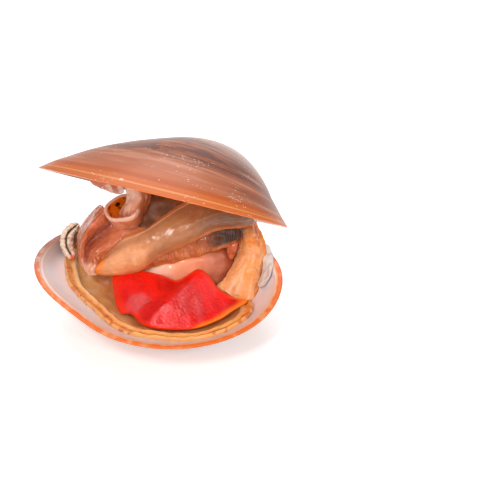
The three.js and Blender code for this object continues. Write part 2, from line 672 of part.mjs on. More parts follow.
function footBody(grow = 0) {
  const edge = footEdge().getSpacedPoints(FOOT_AROUND).slice(0, FOOT_AROUND);
  const ring = (share, below) => edge.map((point) => {
    const x = point.x * share;
    const y = point.y * share;
    const thick = (FOOT_EDGE + FOOT_BODY * (1 - share ** 2)) * below;
    const reach = 1 + grow / point.length();
    return new THREE.Vector3(x * reach, y * reach, footRise(x, y) - thick + (below ? -grow : grow))
      .add(FOOT_MIDDLE);
  });
  const pole = (below) => [ring(0.001, below)[0]];
  return closedBody([
    pole(0),
    ...FOOT_SHARES.map((share) => ring(share, 0)),
    ...FOOT_SHARES.toReversed().map((share) => ring(share, 1)),
    pole(1),
  ]);
}

// ---------------------------------------------------------------------------------------------------------
// The siphon's rolled mouth: a cup with a thick lip
// ---------------------------------------------------------------------------------------------------------

const MOUTH_PLACE = [-45, 15, 20.4];
const MOUTH_AXIS = new THREE.Vector3(-0.2, 0.62, 0.76).normalize();
const MOUTH_RADIUS = 6.6;
const MOUTH_BORE = 5;
const MOUTH_DEPTH = 7;
const MOUTH_FLOOR = 2;
const MOUTH_AROUND = 18;

function mouthBody(grow = 0) {
  const outer = MOUTH_RADIUS + grow;
  const bore = MOUTH_BORE - grow;
  const bottom = -MOUTH_DEPTH - MOUTH_FLOOR - grow;
  const profile = [
    [0, bottom], [outer * 0.55, bottom + 0.3], [outer * 0.85, bottom + 2.6], [outer, -3], [outer, -0.8],
    [(MOUTH_RADIUS + MOUTH_BORE) / 2, 0.3 + grow], [bore, -0.8], [bore * 0.9, -4],
    [bore * 0.6, -MOUTH_DEPTH + 0.8 + grow], [0, -MOUTH_DEPTH + grow],
  ].map(([radius, along]) => new THREE.Vector2(radius, along));
  const turn = new THREE.Quaternion().setFromUnitVectors(new THREE.Vector3(0, 1, 0), MOUTH_AXIS);
  return new THREE.LatheGeometry(profile, MOUTH_AROUND)
    .applyQuaternion(turn)
    .translate(...MOUTH_PLACE);
}

// ---------------------------------------------------------------------------------------------------------
// Assembly
// ---------------------------------------------------------------------------------------------------------

function heldGroup({ place, yaw, pitch, roll }) {
  const group = new THREE.Group();
  const [tilt, nod, turn] = [roll, pitch, yaw].map(THREE.MathUtils.degToRad);
  group.rotation.copy(new THREE.Euler(tilt, nod, turn, 'ZYX'));
  group.position.set(...place);
  group.updateMatrix();
  return group;
}

const assembly = new THREE.Group();
const lowerSide = heldGroup(LOWER_POSE);
const upperSide = heldGroup(UPPER_POSE);
const gape = heldGroup({ place: GAPE_PLACE, yaw: 0, pitch: 0, roll: GAPE_LEAN });

/** A body of one group seen from the frame of another. */
function seenFrom(group, owner, geometry) {
  const matrix = group.matrix.clone().invert().multiply(owner.matrix);
  return geometry.clone().applyMatrix4(matrix);
}

function finish(color, roughness) {
  return new THREE.MeshStandardMaterial({ color, roughness, metalness: 0 });
}

function addPiece(group, name, geometry, material) {
  const mesh = new THREE.Mesh(geometry, material);
  mesh.name = name;
  group.add(mesh);
}

/** Middle of the hinge gap behind a point of the rim, in the assembly's frame. */
function hingeMiddle(angle) {
  const rim = planePoint(angle, 1);
  const [below, above] = [lowerSide, upperSide].map((side) => (
    new THREE.Vector3(rim.x, rim.y, 0).applyMatrix4(side.matrix)));
  return below.lerp(above, 0.5);
}

/** The ligament: a dark elastic band that fills the hinge gap along the rim behind the beaks. */
function ligamentBody() {
  const stations = LIGAMENT.map(({ angle, wide, thick }) => {
    const middle = hingeMiddle(angle);
    return { at: [middle.x, middle.y + LIGAMENT_BULGE, middle.z], wide, thick };
  });
  return softBody({ stations, around: 12, along: 12 });
}

const SHELL_FINISH = finish('#c8785a', 0.3);
const MANTLE_FINISH = finish('#cf9358', 0.35);

const floorSlab = new THREE.BoxGeometry(80, 80, 20).translate(0, 0, -10);
const floorBelow = floorSlab.applyMatrix4(lowerSide.matrix.clone().invert());
const restingValve = geometryOf(solidOf(valveBody(LOWER)).subtract(solidOf(floorBelow)));

addPiece(lowerSide, 'lower_valve', restingValve, SHELL_FINISH);
addPiece(upperSide, 'upper_valve', valveBody(UPPER), SHELL_FINISH);
addPiece(assembly, 'ligament', ligamentBody(), finish('#3a2c22', 0.5));
addPiece(lowerSide, 'mantle_lower', mantleBody(LOWER), MANTLE_FINISH);
addPiece(upperSide, 'mantle_upper', mantleBody(UPPER), MANTLE_FINISH);

// The soft body from the outside in. Each piece gives way to the valves, the mantle and those before it.
const SOFT_PIECES = [
  { name: 'mantle_fold', shape: sheetBody, form: MANTLE_FOLD, look: finish('#c8915f', 0.3) },
  { name: 'foot', shape: footBody, look: finish('#e8281c', 0.25) },
  { name: 'gill', shape: sheetBody, form: GILL, look: finish('#a05a34', 0.35) },
  { name: 'siphon_mouth', shape: mouthBody, look: finish('#d8845c', 0.3) },
  { name: 'muscle_strand', shape: sheetBody, form: MUSCLE_STRAND, look: finish('#dcb4a0', 0.35) },
  { name: 'siphon_tip', shape: softBody, form: SIPHON_TIP, look: finish('#dcc0a8', 0.45) },
  { name: 'siphon_body', shape: sheetBody, form: SIPHON_BODY, look: finish('#c86e55', 0.3) },
  { name: 'anterior_adductor', shape: sheetBody, form: ADDUCTOR, look: finish('#e0a064', 0.3) },
  { name: 'torn_flap', shape: sheetBody, form: TORN_FLAP, look: finish('#d89478', 0.35) },
  { name: 'mantle_film', shape: sheetBody, form: MANTLE_FILM, look: finish('#dcd0c8', 0.3) },
  { name: 'labial_palp', shape: softBody, form: PALP, look: finish('#b0603c', 0.35) },
  { name: 'visceral_mass', shape: softBody, form: VISCERAL_MASS, look: finish('#e09470', 0.25) },
  { name: 'inner_mantle', shape: sheetBody, form: INNER_MANTLE, look: finish('#6e4632', 0.35) },
];

let taken = [[lowerSide, LOWER], [upperSide, UPPER]]
  .flatMap(([owner, side]) => [wallBlock, mantleBlock].map((block) => seenFrom(gape, owner, block(side))))
  .map(solidOf)
  .reduce((sum, block) => sum.add(block));

for (const { name, shape, form, look } of SOFT_PIECES) {
  const solidWith = (grow) => solidOf(form ? shape(form, grow) : shape(grow));
  addPiece(gape, name, geometryOf(largestOf(solidWith(0).subtract(taken))), look);
  taken = taken.add(solidWith(SOFT_GAP));
}

assembly.add(lowerSide, upperSide, gape);
export default assembly;
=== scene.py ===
"""Looks of an opened chocolate clam in its shell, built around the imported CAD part.

Every shape is worked out in millimetres with numpy and goes into its mesh in metres. The row frame has +Z up,
+X to the front end of the clam and +Y to the back, where the hinge is.
"""

import logging
import math
from dataclasses import dataclass, field
from enum import Enum
from functools import cached_property
from typing import Any, Callable

import bpy
import numpy as np
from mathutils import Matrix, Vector


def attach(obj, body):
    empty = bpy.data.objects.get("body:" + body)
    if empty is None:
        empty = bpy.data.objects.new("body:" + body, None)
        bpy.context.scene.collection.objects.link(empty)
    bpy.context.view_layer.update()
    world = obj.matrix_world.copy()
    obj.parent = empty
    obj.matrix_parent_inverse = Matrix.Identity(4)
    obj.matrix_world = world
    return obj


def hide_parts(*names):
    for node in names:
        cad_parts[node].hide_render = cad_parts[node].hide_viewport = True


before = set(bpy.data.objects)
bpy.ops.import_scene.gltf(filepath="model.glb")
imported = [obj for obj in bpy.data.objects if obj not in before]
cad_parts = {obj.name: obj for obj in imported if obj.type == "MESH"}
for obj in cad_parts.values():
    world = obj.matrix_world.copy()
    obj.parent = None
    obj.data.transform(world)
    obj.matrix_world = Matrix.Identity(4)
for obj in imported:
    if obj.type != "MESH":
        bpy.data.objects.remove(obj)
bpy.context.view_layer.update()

log = logging.getLogger("clam")

Array = np.ndarray
Color = tuple[float, float, float]
Triple = tuple[float, float, float]

BODY = "root"
MM = 0.001
TAU = 2 * math.pi
UP = np.array([0.0, 0.0, 1.0])
PRESS_GAP = 0.1


def srgb(red: int, green: int, blue: int) -> Color:
    """A colour given in 0 to 255 steps, as linear numbers.

    Args:
        red, green, blue: display values.

    Returns:
        Linear red, green and blue.
    """
    def linear(step: int) -> float:
        share = step / 255
        return share / 12.92 if share <= 0.04045 else ((share + 0.055) / 1.055) ** 2.4
    return linear(red), linear(green), linear(blue)


# ==== Shader graphs ====


class Value:
    """A number socket of a shader graph that takes part in Python sums."""

    def __init__(self, graph: "Graph", socket: Any) -> None:
        """Keeps the graph and the socket that gives the number."""
        self.graph = graph
        self.socket = socket

    def _with(self, operation: str, *others: Any, first: bool = True) -> "Value":
        """A Math node on this value and others.

        Args:
            operation: the Math node's operation.
            others: values or numbers.
            first: False puts this value after the first of the others.

        Returns:
            The node's result.
        """
        terms = [self, *others] if first else [*others, self]
        node = self.graph.node("ShaderNodeMath", {"operation": operation}, dict(enumerate(terms)))
        return Value(self.graph, node.outputs[0])

    def __add__(self, other: Any) -> "Value":
        """This plus other."""
        return self._with("ADD", other)

    __radd__ = __add__

    def __mul__(self, other: Any) -> "Value":
        """This times other."""
        return self._with("MULTIPLY", other)

    __rmul__ = __mul__

    def __sub__(self, other: Any) -> "Value":
        """This less other."""
        return self._with("SUBTRACT", other)

    def __rsub__(self, other: Any) -> "Value":
        """Other less this."""
        return self._with("SUBTRACT", other, first=False)

    def size(self) -> "Value":
        """This value without its sign."""
        return self._with("ABSOLUTE")

    def most(self, other: Any) -> "Value":
        """The larger of this and other."""
        return self._with("MAXIMUM", other)

    def step(self, low: float, high: float) -> "Value":
        """A smooth step of this value.

        Args:
            low: where the step is 0.
            high: where it is 1; below low, the step falls instead.

        Returns:
            A value from 0 to 1.
        """
        ends = (low, high, 0.0, 1.0) if low < high else (high, low, 1.0, 0.0)
        node = self.graph.node("ShaderNodeMapRange", {"interpolation_type": "SMOOTHSTEP", "clamp": True},
                               dict(zip(("Value", "From Min", "From Max", "To Min", "To Max"),
                                        (self, *ends))))
        return Value(self.graph, node.outputs[0])


class Graph:
    """The nodes of one material."""

    def __init__(self, name: str) -> None:
        """Starts a material with a Principled shader wired to its output."""
        self.material = bpy.data.materials.new(name)
        self.material.use_nodes = True
        self.nodes = self.material.node_tree.nodes
        self.links = self.material.node_tree.links
        self.shader = self.nodes["Principled BSDF"]

    def node(self, kind: str, settings: dict[str, Any] | None = None,
             sockets: dict[Any, Any] | None = None) -> Any:
        """One node of the graph.

        Args:
            kind: Blender's name for the node's type.
            settings: properties, which are set before the sockets.
            sockets: values or links by socket name or number.

        Returns:
            The node.
        """
        made = self.nodes.new(kind)
        for key, setting in (settings or {}).items():
            setattr(made, key, setting)
        self.feed(made, sockets or {})
        return made

    def feed(self, node: Any, sockets: dict[Any, Any]) -> None:
        """Sets or links a node's sockets.

        Args:
            node: the node.
            sockets: values or links by socket name or number.
        """
        for key, given in sockets.items():
            socket = node.inputs[key]
            source = given.socket if isinstance(given, Value) else given
            if isinstance(source, bpy.types.NodeSocket):
                self.links.new(source, socket)
            elif socket.type == "RGBA" and len(source) == 3:
                socket.default_value = (*source, 1.0)
            else:
                socket.default_value = source

    def attribute(self, name: str) -> Value:
        """The mesh's number of that name."""
        return Value(self, self.node("ShaderNodeAttribute", {"attribute_name": name}).outputs["Fac"])

    def vector_attribute(self, name: str) -> Any:
        """The mesh's vector of that name."""
        return self.node("ShaderNodeAttribute", {"attribute_name": name}).outputs["Vector"]

    def place(self) -> Any:
        """The Object coordinate, in metres."""
        return self.node("ShaderNodeTexCoord").outputs["Object"]

    def stretched(self, vector: Any, scale: Triple) -> Any:
        """A vector with each part multiplied.

        Args:
            vector: socket.
            scale: what each part is multiplied by.

        Returns:
            The stretched vector's socket.
        """
        node = self.node("ShaderNodeVectorMath", {"operation": "MULTIPLY"}, {0: vector, 1: scale})
        return node.outputs[0]

    def joined(self, x: Any, y: Any) -> Any:
        """Two numbers as a vector's socket."""
        return self.node("ShaderNodeCombineXYZ", {}, {"X": x, "Y": y}).outputs[0]

    def noise(self, vector: Any, scale: float, detail: float = 3.0, rough: float = 0.5,
              twist: float = 0.0) -> Value:
        """Cloudy noise.

        Args:
            vector: where it is read.
            scale: how many clouds to a unit.
            detail: octaves.
            rough: strength of the finer octaves.
            twist: distortion.

        Returns:
            A value about 0.5.
        """
        node = self.node("ShaderNodeTexNoise", {"noise_dimensions": "3D"},
                         {"Vector": vector, "Scale": scale, "Detail": detail, "Roughness": rough,
                          "Distortion": twist})
        return Value(self, node.outputs[0])

    def cells(self, vector: Any, scale: float) -> Value:
        """Distance to the nearest of scattered points, at that many points to a unit."""
        node = self.node("ShaderNodeTexVoronoi", {"feature": "F1"}, {"Vector": vector, "Scale": scale})
        return Value(self, node.outputs["Distance"])

    def mix(self, share: Any, first: Any, second: Any) -> Any:
        """One colour over another.

        Args:
            share: how much of the second.
            first, second: colours or sockets.

        Returns:
            The colour's socket.
        """
        node = self.node("ShaderNodeMix", {"data_type": "RGBA", "blend_type": "MIX", "clamp_factor": True},
                         {0: share, 6: first, 7: second})
        return node.outputs[2]

    def layered(self, color: Any, *layers: tuple[Any, Any]) -> Any:
        """Colours laid one over another.

        Args:
            color: the lowest, as a colour or a socket.
            layers: each one's share and colour, from below.

        Returns:
            The colour's socket.
        """
        for share, above in layers:
            color = self.mix(share, color, above.value if isinstance(above, Enum) else above)
        return color

    def bump(self, height: Any, depth: float) -> Any:
        """A normal bent by a height.

        Args:
            height: value from 0 to 1.
            depth: metres that 1 stands for.

        Returns:
            The normal's socket.
        """
        sockets = {"Height": height, "Distance": depth, "Strength": 1.0}
        return self.node("ShaderNodeBump", {}, sockets).outputs[0]


# ==== Finishes ====


@dataclass(frozen=True)
class Patch:
    """Clouds of another colour.

    Attributes:
        color: the clouds' colour.
        scale: clouds to a metre.
        low, high: noise values where they begin and are full.
        share: how strongly they cover.
    """

    color: Color
    scale: float
    low: float
    high: float
    share: float


@dataclass(frozen=True)
class Tint:
    """A colour where an attribute of the mesh is between two values.

    Attributes:
        name: the attribute.
        color: the colour.
        low, high: where it begins and is full.
        share: how strongly it covers.
        ragged: how much noise moves its edge.
        about: makes it a band, whose low and high are distances from this value.
    """

    name: str
    color: Color
    low: float
    high: float
    share: float = 1.0
    ragged: float = 0.0
    about: float | None = None


@dataclass(frozen=True)
class Streak:
    """Streaks that follow a piece.

    Attributes:
        color: the streaks' colour.
        across, along: how many there are over half its width and its length.
        low, high: noise values where they begin and are full.
        share: how strongly they cover.
    """

    color: Color
    across: float
    along: float
    low: float
    high: float
    share: float


@dataclass(frozen=True)
class WetFlesh:
    """A soft wet finish: clouds and tints over a base, a clear wet coat and fine grain.

    Attributes:
        name: the material's name.
        base: the main colour.
        patches: clouds over it.
        tints: colours that follow the mesh's attributes.
        streaks: streaks along or across the piece.
        roughness: of the wet face.
        coat: weight of the smooth film over it.
        scatter: weight of light scattered below the surface.
        glow: colour reach of that scattering.
        grain: bumps to a metre.
        grain_depth: metres.
        speck: colour of small specks, or None for no specks.
        specks: specks to a metre.
        speck_size: how far each reaches, as a share of their spacing.
        speck_mark: attribute that the specks keep to.
        blotch, blotch_reach: colour of blotches near the mesh's edge, and how far in they go.
    """

    name: str
    base: Color
    patches: tuple[Patch, ...] = ()
    tints: tuple[Tint, ...] = ()
    streaks: tuple[Streak, ...] = ()
    roughness: float = 0.11
    coat: float = 0.3
    scatter: float = 0.25
    glow: Triple = (1.0, 0.45, 0.25)
    grain: float = 800.0
    grain_depth: float = 0.0003
    speck: Color | None = None
    specks: float = 700.0
    speck_size: float = 0.16
    speck_mark: str = ""
    blotch: Color | None = None
    blotch_reach: float = 0.0

    def make(self) -> bpy.types.Material:
        """The finish as a material."""
        graph = Graph(self.name)
        place = graph.place()
        color: Any = graph.mix(graph.noise(place, 260.0, 4.0), tuple(0.86 * part for part in self.base),
                               tuple(min(1.0, 1.12 * part) for part in self.base))
        for patch in self.patches:
            cloud = graph.noise(place, patch.scale, 4.0, 0.55, 0.3)
            color = graph.mix(cloud.step(patch.low, patch.high) * patch.share, color, patch.color)
        for tint in self.tints:
            level = graph.attribute(tint.name)
            if tint.ragged:
                level = level + (graph.noise(place, 420.0, 3.0) - 0.5) * tint.ragged
            if tint.about is not None:
                level = (level - tint.about).size()
            color = graph.mix(level.step(tint.low, tint.high) * tint.share, color, tint.color)
        for streak in self.streaks:
            spot = graph.joined(graph.attribute("side") * streak.across,
                                graph.attribute("along") * streak.along)
            lines = graph.noise(spot, 1.0, 3.0, 0.6, 0.4).step(streak.low, streak.high)
            color = graph.mix(lines * streak.share, color, streak.color)
        if self.blotch is not None:
            lumps = graph.noise(place, 320.0, 4.0, 0.6).step(0.5, 0.6)
            groups = graph.noise(place, 60.0, 1.0).step(0.4, 0.55)
            near = graph.attribute("edge").step(self.blotch_reach, self.blotch_reach * 0.8)
            color = graph.mix(lumps * groups * near * 0.8, color, self.blotch)
        if self.speck is not None:
            dots = graph.cells(place, self.specks).step(self.speck_size, self.speck_size * 0.5)
            groups = graph.noise(place, self.specks * 0.3, 2.0).step(0.5, 0.6)
            color = graph.mix(dots * (groups * graph.attribute(self.speck_mark)), color, self.speck)
        fine = graph.noise(place, self.grain, 5.0, 0.6)
        broad = graph.noise(place, self.grain * 0.28, 3.0, 0.5)
        rough = self.roughness + (broad - 0.5) * 0.12
        graph.feed(graph.shader, {
            "Base Color": color, "Roughness": rough, "Coat Weight": self.coat, "Coat Roughness": 0.07,
            "Coat IOR": 1.4, "IOR": 1.45, "Subsurface Weight": self.scatter,
            "Subsurface Radius": self.glow, "Subsurface Scale": 0.0015,
            "Normal": graph.bump(fine * 0.6 + broad, self.grain_depth)})
        return graph.material


class ShellColors(Enum):
    """Colours of the shell's parts."""

    OUTSIDE = srgb(186, 108, 74)
    OUTSIDE_LIGHT = srgb(222, 164, 138)
    OUTSIDE_DARK = srgb(146, 84, 60)
    OUTSIDE_DUSK = srgb(98, 64, 60)
    RIM = srgb(208, 104, 38)
    RIM_DARK = srgb(176, 78, 28)
    RIM_LINE = srgb(244, 172, 112)
    # Pale worn crust, also laid over the upper outside as painted sheen.
    WORN = srgb(240, 218, 210)
    SCRATCH = srgb(246, 214, 184)
    TIP = srgb(214, 150, 122)
    PEARL = srgb(240, 238, 244)
    PEARL_PINK = srgb(240, 224, 224)
    LIP = srgb(240, 116, 46)
    LIP_LIGHT = srgb(250, 200, 150)
    LIP_BLUSH = srgb(246, 200, 164)
    STAIN = srgb(126, 84, 72)


@dataclass(frozen=True)
class ShellFinish:
    """The finish of a valve: growth bands outside, an orange rim, and pearl inside.

    The mesh's vector "shell" holds the cosine and sine of the angle round the rim and the turn of the growth
    line. Its numbers "inside" and "inset" are 1 on the hollow's face and the millimetres in from the rim.
    """

    name: str = "shell"

    def make(self) -> bpy.types.Material:
        """The finish as a material."""
        graph = Graph(self.name)
        place = graph.place()
        spiral = graph.vector_attribute("shell")
        turn = graph.attribute("turn")
        inset = graph.attribute("inset")
        inside = graph.attribute("inside")

        def along_lines(around: float, lines: float, *noise: float) -> Value:
            """Noise drawn out along the growth lines, with so many clouds round the rim and to a turn."""
            return graph.noise(graph.stretched(spiral, (around, around, lines)), 1.0, *noise)

        bands = along_lines(0.7, 26.0, 4.0, 0.6)
        lines = along_lines(1.0, 90.0, 3.0, 0.6)
        streaks = along_lines(1.5, 20.0, 4.0, 0.6)
        scratches = along_lines(9.0, 60.0, 2.0, 0.5, 1.5).step(0.7, 0.78)
        ribs = along_lines(1.0, 150.0, 1.0).step(0.4, 0.6)
        tip = graph.attribute("tip")
        rear = graph.attribute("rear")
        dusk = (streaks * 0.7 + lines * 0.3).step(0.43, 0.58) * turn.step(0.15, 0.32) * turn.step(0.9, 0.5)
        rings = (turn + (bands - 0.5) * 0.02).step(0.045, 0.06) * turn.step(0.09, 0.07)
        rim_line = (turn - 0.026 + (bands - 0.5) * 0.012).size().step(0.006, 0.001)
        flecks = graph.cells(graph.stretched(place, (1.0, 1.3, 1.6)), 640.0).step(0.24, 0.1)
        flecks = flecks * graph.noise(place, 110.0, 2.0).step(0.5, 0.6)
        outer = graph.layered(
            ShellColors.OUTSIDE.value,
            (along_lines(0.5, 7.0, 3.0, 0.5, 0.1).step(0.4, 0.62), ShellColors.OUTSIDE_DARK),
            (bands.step(0.5, 0.64) * 0.45, ShellColors.OUTSIDE_LIGHT),
            (dusk * 0.85, ShellColors.OUTSIDE_DUSK),
            # Painted sheen: the rear end of the outside is painted paler.
            (rear * 0.35, ShellColors.OUTSIDE_LIGHT),
            # Painted sheen: the upper part of the outside is painted paler and whiter, with whitish streaks
            # along the growth lines. This stands for light from above as well as wear.
            (lines.step(0.52, 0.7) * turn.step(0.3, 0.8) * 0.5, ShellColors.WORN),
            (turn.step(0.3, 0.8) * 0.7, ShellColors.WORN),
            ((turn + (bands - 0.5) * 0.14).step(0.12, 0.04) * 0.9, ShellColors.RIM),
            (rings * 0.6, ShellColors.RIM_DARK),
            (rim_line * 0.5, ShellColors.RIM_LINE),
            (flecks.most(scratches) * 0.8, ShellColors.SCRATCH),
            (tip * 0.8, graph.mix(ribs, ShellColors.TIP.value, ShellColors.WORN.value)))

        blush = (inset + (graph.noise(place, 90.0, 3.0) - 0.5) * 4.0).step(5.5, 2.4)
        pearl = graph.layered(ShellColors.PEARL.value,
                              (graph.noise(place, 60.0, 4.0).step(0.42, 0.62), ShellColors.PEARL_PINK),
                              (blush * 0.45, ShellColors.LIP_BLUSH))
        lip = graph.layered(ShellColors.LIP.value,
                            (graph.noise(place, 260.0, 4.0).step(0.45, 0.7) * 0.4, ShellColors.LIP_LIGHT))
        ragged = inset + (graph.noise(place, 240.0, 3.0) - 0.5) * 0.8
        crusts = graph.noise(place, 420.0, 3.0).step(0.5, 0.6) * rear * ragged.step(3.0, 2.0)
        within = graph.layered(
            lip, (ragged.step(1.7, 2.6), pearl),
            ((ragged - 2.0).size().step(0.4, 0.1) * 0.55, ShellColors.LIP_LIGHT),
            (crusts * 0.7, ShellColors.WORN),
            (graph.attribute("stain") * ragged.step(10.0, 5.0) * 0.85, ShellColors.STAIN))
        color = graph.mix(inside, outer, within)

        height = lines * 0.5 + bands * 0.6 + graph.noise(place, 1500.0, 3.0) * 0.12 + ribs * tip * 0.6
        soft = graph.noise(place, 260.0, 3.0) * 0.25
        height = height * (1 - inside) + soft * inside
        rough = (0.4 + (bands - 0.5) * 0.3) * (1 - inside) + inside * 0.3
        graph.feed(graph.shader, {
            "Base Color": color, "Roughness": rough, "Coat Weight": 0.08, "Coat Roughness": 0.2,
            "IOR": 1.38, "Subsurface Weight": 0.05, "Subsurface Radius": (1.0, 0.6, 0.5),
            "Subsurface Scale": 0.001, "Normal": graph.bump(height, 0.00022)})
        return graph.material


# ==== Numbers to meshes ====


def waves(points: Array, size: float, seed: int, count: int = 10) -> Array:
    """Smooth lumps: the mean of sines along scattered directions.

    Each sine is sin(k . p + phase), where k points anywhere and its length is 2 pi over size, give or take a
    third.

    Args:
        points: places, in the last axis.
        size: spacing of the lumps.
        seed: for the directions and phases.
        count: how many sines.

    Returns:
        Values mostly from -1 to 1.
    """
    draw = np.random.default_rng(seed)
    aims = draw.normal(size=(count, points.shape[-1]))
    aims /= np.linalg.norm(aims, axis=1, keepdims=True)
    aims *= (TAU / size) * draw.uniform(0.7, 1.4, size=(count, 1))
    phases = draw.uniform(0, TAU, count)
    return np.sin(points @ aims.T + phases).sum(-1) / math.sqrt(count / 2) * 0.7


def bell(offset: Array, spread: float) -> Array:
    """The bell curve exp(-(offset / spread)^2)."""
    return np.exp(-((offset / spread) ** 2))


def ring(count: int) -> Array:
    """So many angles round a circle, from -pi."""
    return np.arange(count) / count * TAU - math.pi


def away(angle: Array, place: float) -> Array:
    """How far round a circle angles are from a place, from -pi to pi."""
    return np.mod(angle - place + math.pi, TAU) - math.pi


def unit(vectors: Array) -> Array:
    """Vectors over their lengths."""
    return vectors / np.maximum(np.linalg.norm(vectors, axis=-1, keepdims=True), 1e-9)


def closing(count: int) -> Array:
    """Shares from 0 to 1 that lie closer near both ends: (1 - cos(pi u)) / 2."""
    return (1 - np.cos(np.linspace(0, math.pi, count))) / 2


def fullness(t: Array, ends: float) -> Array:
    """How full a piece is: sqrt(1 - (1 - d)^2), where d is the share of the end that is behind."""
    return np.sqrt(1 - (1 - np.clip(np.minimum(t, 1 - t) / ends, 0, 1)) ** 2)


def spline(knots: Array, share: Array) -> Array:
    """A uniform Catmull-Rom curve through knots.

    The end knots are mirrored through the first and last, and between two knots the curve is the cubic
    0.5 (2b + (c - a) t + (2a - 5b + 4c - d) t^2 + (3b - a - 3c + d) t^3).

    Args:
        knots: (..., count, parts).
        share: (..., places), from 0 to 1 along it.

    Returns:
        (..., places, parts).
    """
    count = knots.shape[-2]
    before, after = 2 * knots[..., :1, :] - knots[..., 1:2, :], 2 * knots[..., -1:, :] - knots[..., -2:-1, :]
    full = np.concatenate([before, knots, after], -2)
    spot = np.clip(share, 0, 1) * (count - 1)
    first = np.minimum(spot.astype(int), count - 2)
    t = (spot - first)[..., None]
    a, b, c, d = (np.take_along_axis(full, (first + step)[..., None], -2) for step in range(4))
    return 0.5 * (2 * b + (c - a) * t + (2 * a - 5 * b + 4 * c - d) * t ** 2
                  + (3 * b - a - 3 * c + d) * t ** 3)


def tube(centre: Array, half: Array, t: Array, angle: Array) -> Array:
    """An elliptic tube: across the path it is wide * cos and thick * sin of the angle round.

    Args:
        centre: (shares, 3), the path.
        half: (shares, angles, 2), half the width and half the thickness.
        t: shares along the path.
        angle: round it.

    Returns:
        (shares, angles, 3).
    """
    tangent = unit(np.gradient(centre, t, axis=0))
    across = unit(np.cross(tangent, UP))
    out = np.cross(across, tangent)
    return (centre[:, None] + (half[..., 0] * np.cos(angle))[..., None] * across[:, None]
            + (half[..., 1] * np.sin(angle))[..., None] * out[:, None])


def normals_of(grid: Array) -> Array:
    """Unit normals of a grid that closes along its second axis, from its two tangents' cross product."""
    return unit(np.cross(np.gradient(grid, axis=0), np.roll(grid, -1, axis=1) - np.roll(grid, 1, axis=1)))


class Frames(Enum):
    """Frames that pieces are laid out in: place, yaw, pitch and roll."""

    LOWER = ((14.9, 18.9, 24.2), -26.9, 3.4, -172.7)
    UPPER = ((14.5, 19.3, 30.7), -25.6, -0.6, 146.0)
    GAPE = ((22.1, 15.0, 17.9), 0.0, 0.0, 58.0)

    @property
    def turn(self) -> Array:
        """The rotation, as yaw after pitch after roll."""
        yaw, pitch, roll = (math.radians(angle) for angle in self.value[1:])
        about_z = np.array([[math.cos(yaw), -math.sin(yaw), 0], [math.sin(yaw), math.cos(yaw), 0], [0, 0, 1]])
        about_y = np.array([[math.cos(pitch), 0, math.sin(pitch)], [0, 1, 0],
                            [-math.sin(pitch), 0, math.cos(pitch)]])
        about_x = np.array([[1, 0, 0], [0, math.cos(roll), -math.sin(roll)],
                            [0, math.sin(roll), math.cos(roll)]])
        return about_z @ about_y @ about_x

    @property
    def sign(self) -> float:
        """Which way is outward from a valve along the frame's Z."""
        return -1.0 if self is Frames.UPPER else 1.0

    def out(self, points: Array) -> Array:
        """Points of this frame, in the row frame."""
        return points @ self.turn.T + np.array(self.value[0])

    def into(self, points: Array) -> Array:
        """Points of the row frame, in this one."""
        return (points - np.array(self.value[0])) @ self.turn


@dataclass
class Skin:
    """A closed surface: a grid that closes on itself along its second axis, whose end rows are poles.

    Attributes:
        grid: (rows, columns, 3) in the row frame, millimetres.
        marks: numbers or vectors at each point of the grid, by name.
    """

    grid: Array
    marks: dict[str, Array] = field(default_factory=dict)

    def flat(self, values: Array) -> Array:
        """Values of the grid as one list, each end row drawn together to its mean."""
        parts = values.shape[2:]
        return np.concatenate([values[:1].mean(1), values[1:-1].reshape(-1, *parts), values[-1:].mean(1)])

    def faces(self) -> tuple[Array, Array]:
        """The faces between the rows.

        Returns:
            Quads between the full rows and triangles at the poles, as corner numbers.
        """
        rows, columns = self.grid.shape[0] - 2, self.grid.shape[1]
        number = 1 + np.arange(rows * columns).reshape(rows, columns)
        beside = np.roll(number, -1, axis=1)
        quads = np.stack([number[:-1], beside[:-1], beside[1:], number[1:]], -1).reshape(-1, 4)
        last = np.full(columns, 1 + rows * columns)
        fans = np.concatenate([np.stack([np.zeros(columns, int), beside[0], number[0]], -1),
                               np.stack([last, number[-1], beside[-1]], -1)])
        return quads, fans

    def mesh(self, name: str) -> bpy.types.Object:
        """The surface as an object at the origin, faces outward.

        Args:
            name: the object's name.

        Returns:
            The object.
        """
        points = self.flat(self.grid)
        quads, fans = self.faces()
        halves = np.concatenate([quads[:, :3], quads[:, [0, 2, 3]], fans])
        a, b, c = (points[halves[:, corner]] for corner in range(3))
        if np.einsum("ij,ij->i", a, np.cross(b, c)).sum() < 0:
            quads, fans = quads[:, ::-1], fans[:, ::-1]
        mesh = bpy.data.meshes.new(name)
        mesh.vertices.add(len(points))
        mesh.vertices.foreach_set("co", (points * MM).ravel())
        mesh.loops.add(quads.size + fans.size)
        mesh.loops.foreach_set("vertex_index", np.concatenate([quads.ravel(), fans.ravel()]))
        sides = np.concatenate([np.full(len(quads), 4), np.full(len(fans), 3)])
        mesh.polygons.add(len(sides))
        mesh.polygons.foreach_set("loop_start", np.concatenate([[0], np.cumsum(sides)[:-1]]))
        mesh.polygons.foreach_set("use_smooth", np.ones(len(sides), bool))
        mesh.update(calc_edges=True)
        mesh.validate()
        for mark, values in self.marks.items():
            kind, key = ("FLOAT_VECTOR", "vector") if values.ndim == 3 else ("FLOAT", "value")
            layer = mesh.attributes.new(mark, kind, "POINT")
            layer.data.foreach_set(key, self.flat(values).ravel())
        made = bpy.data.objects.new(name, mesh)
        bpy.context.scene.collection.objects.link(made)
        return made


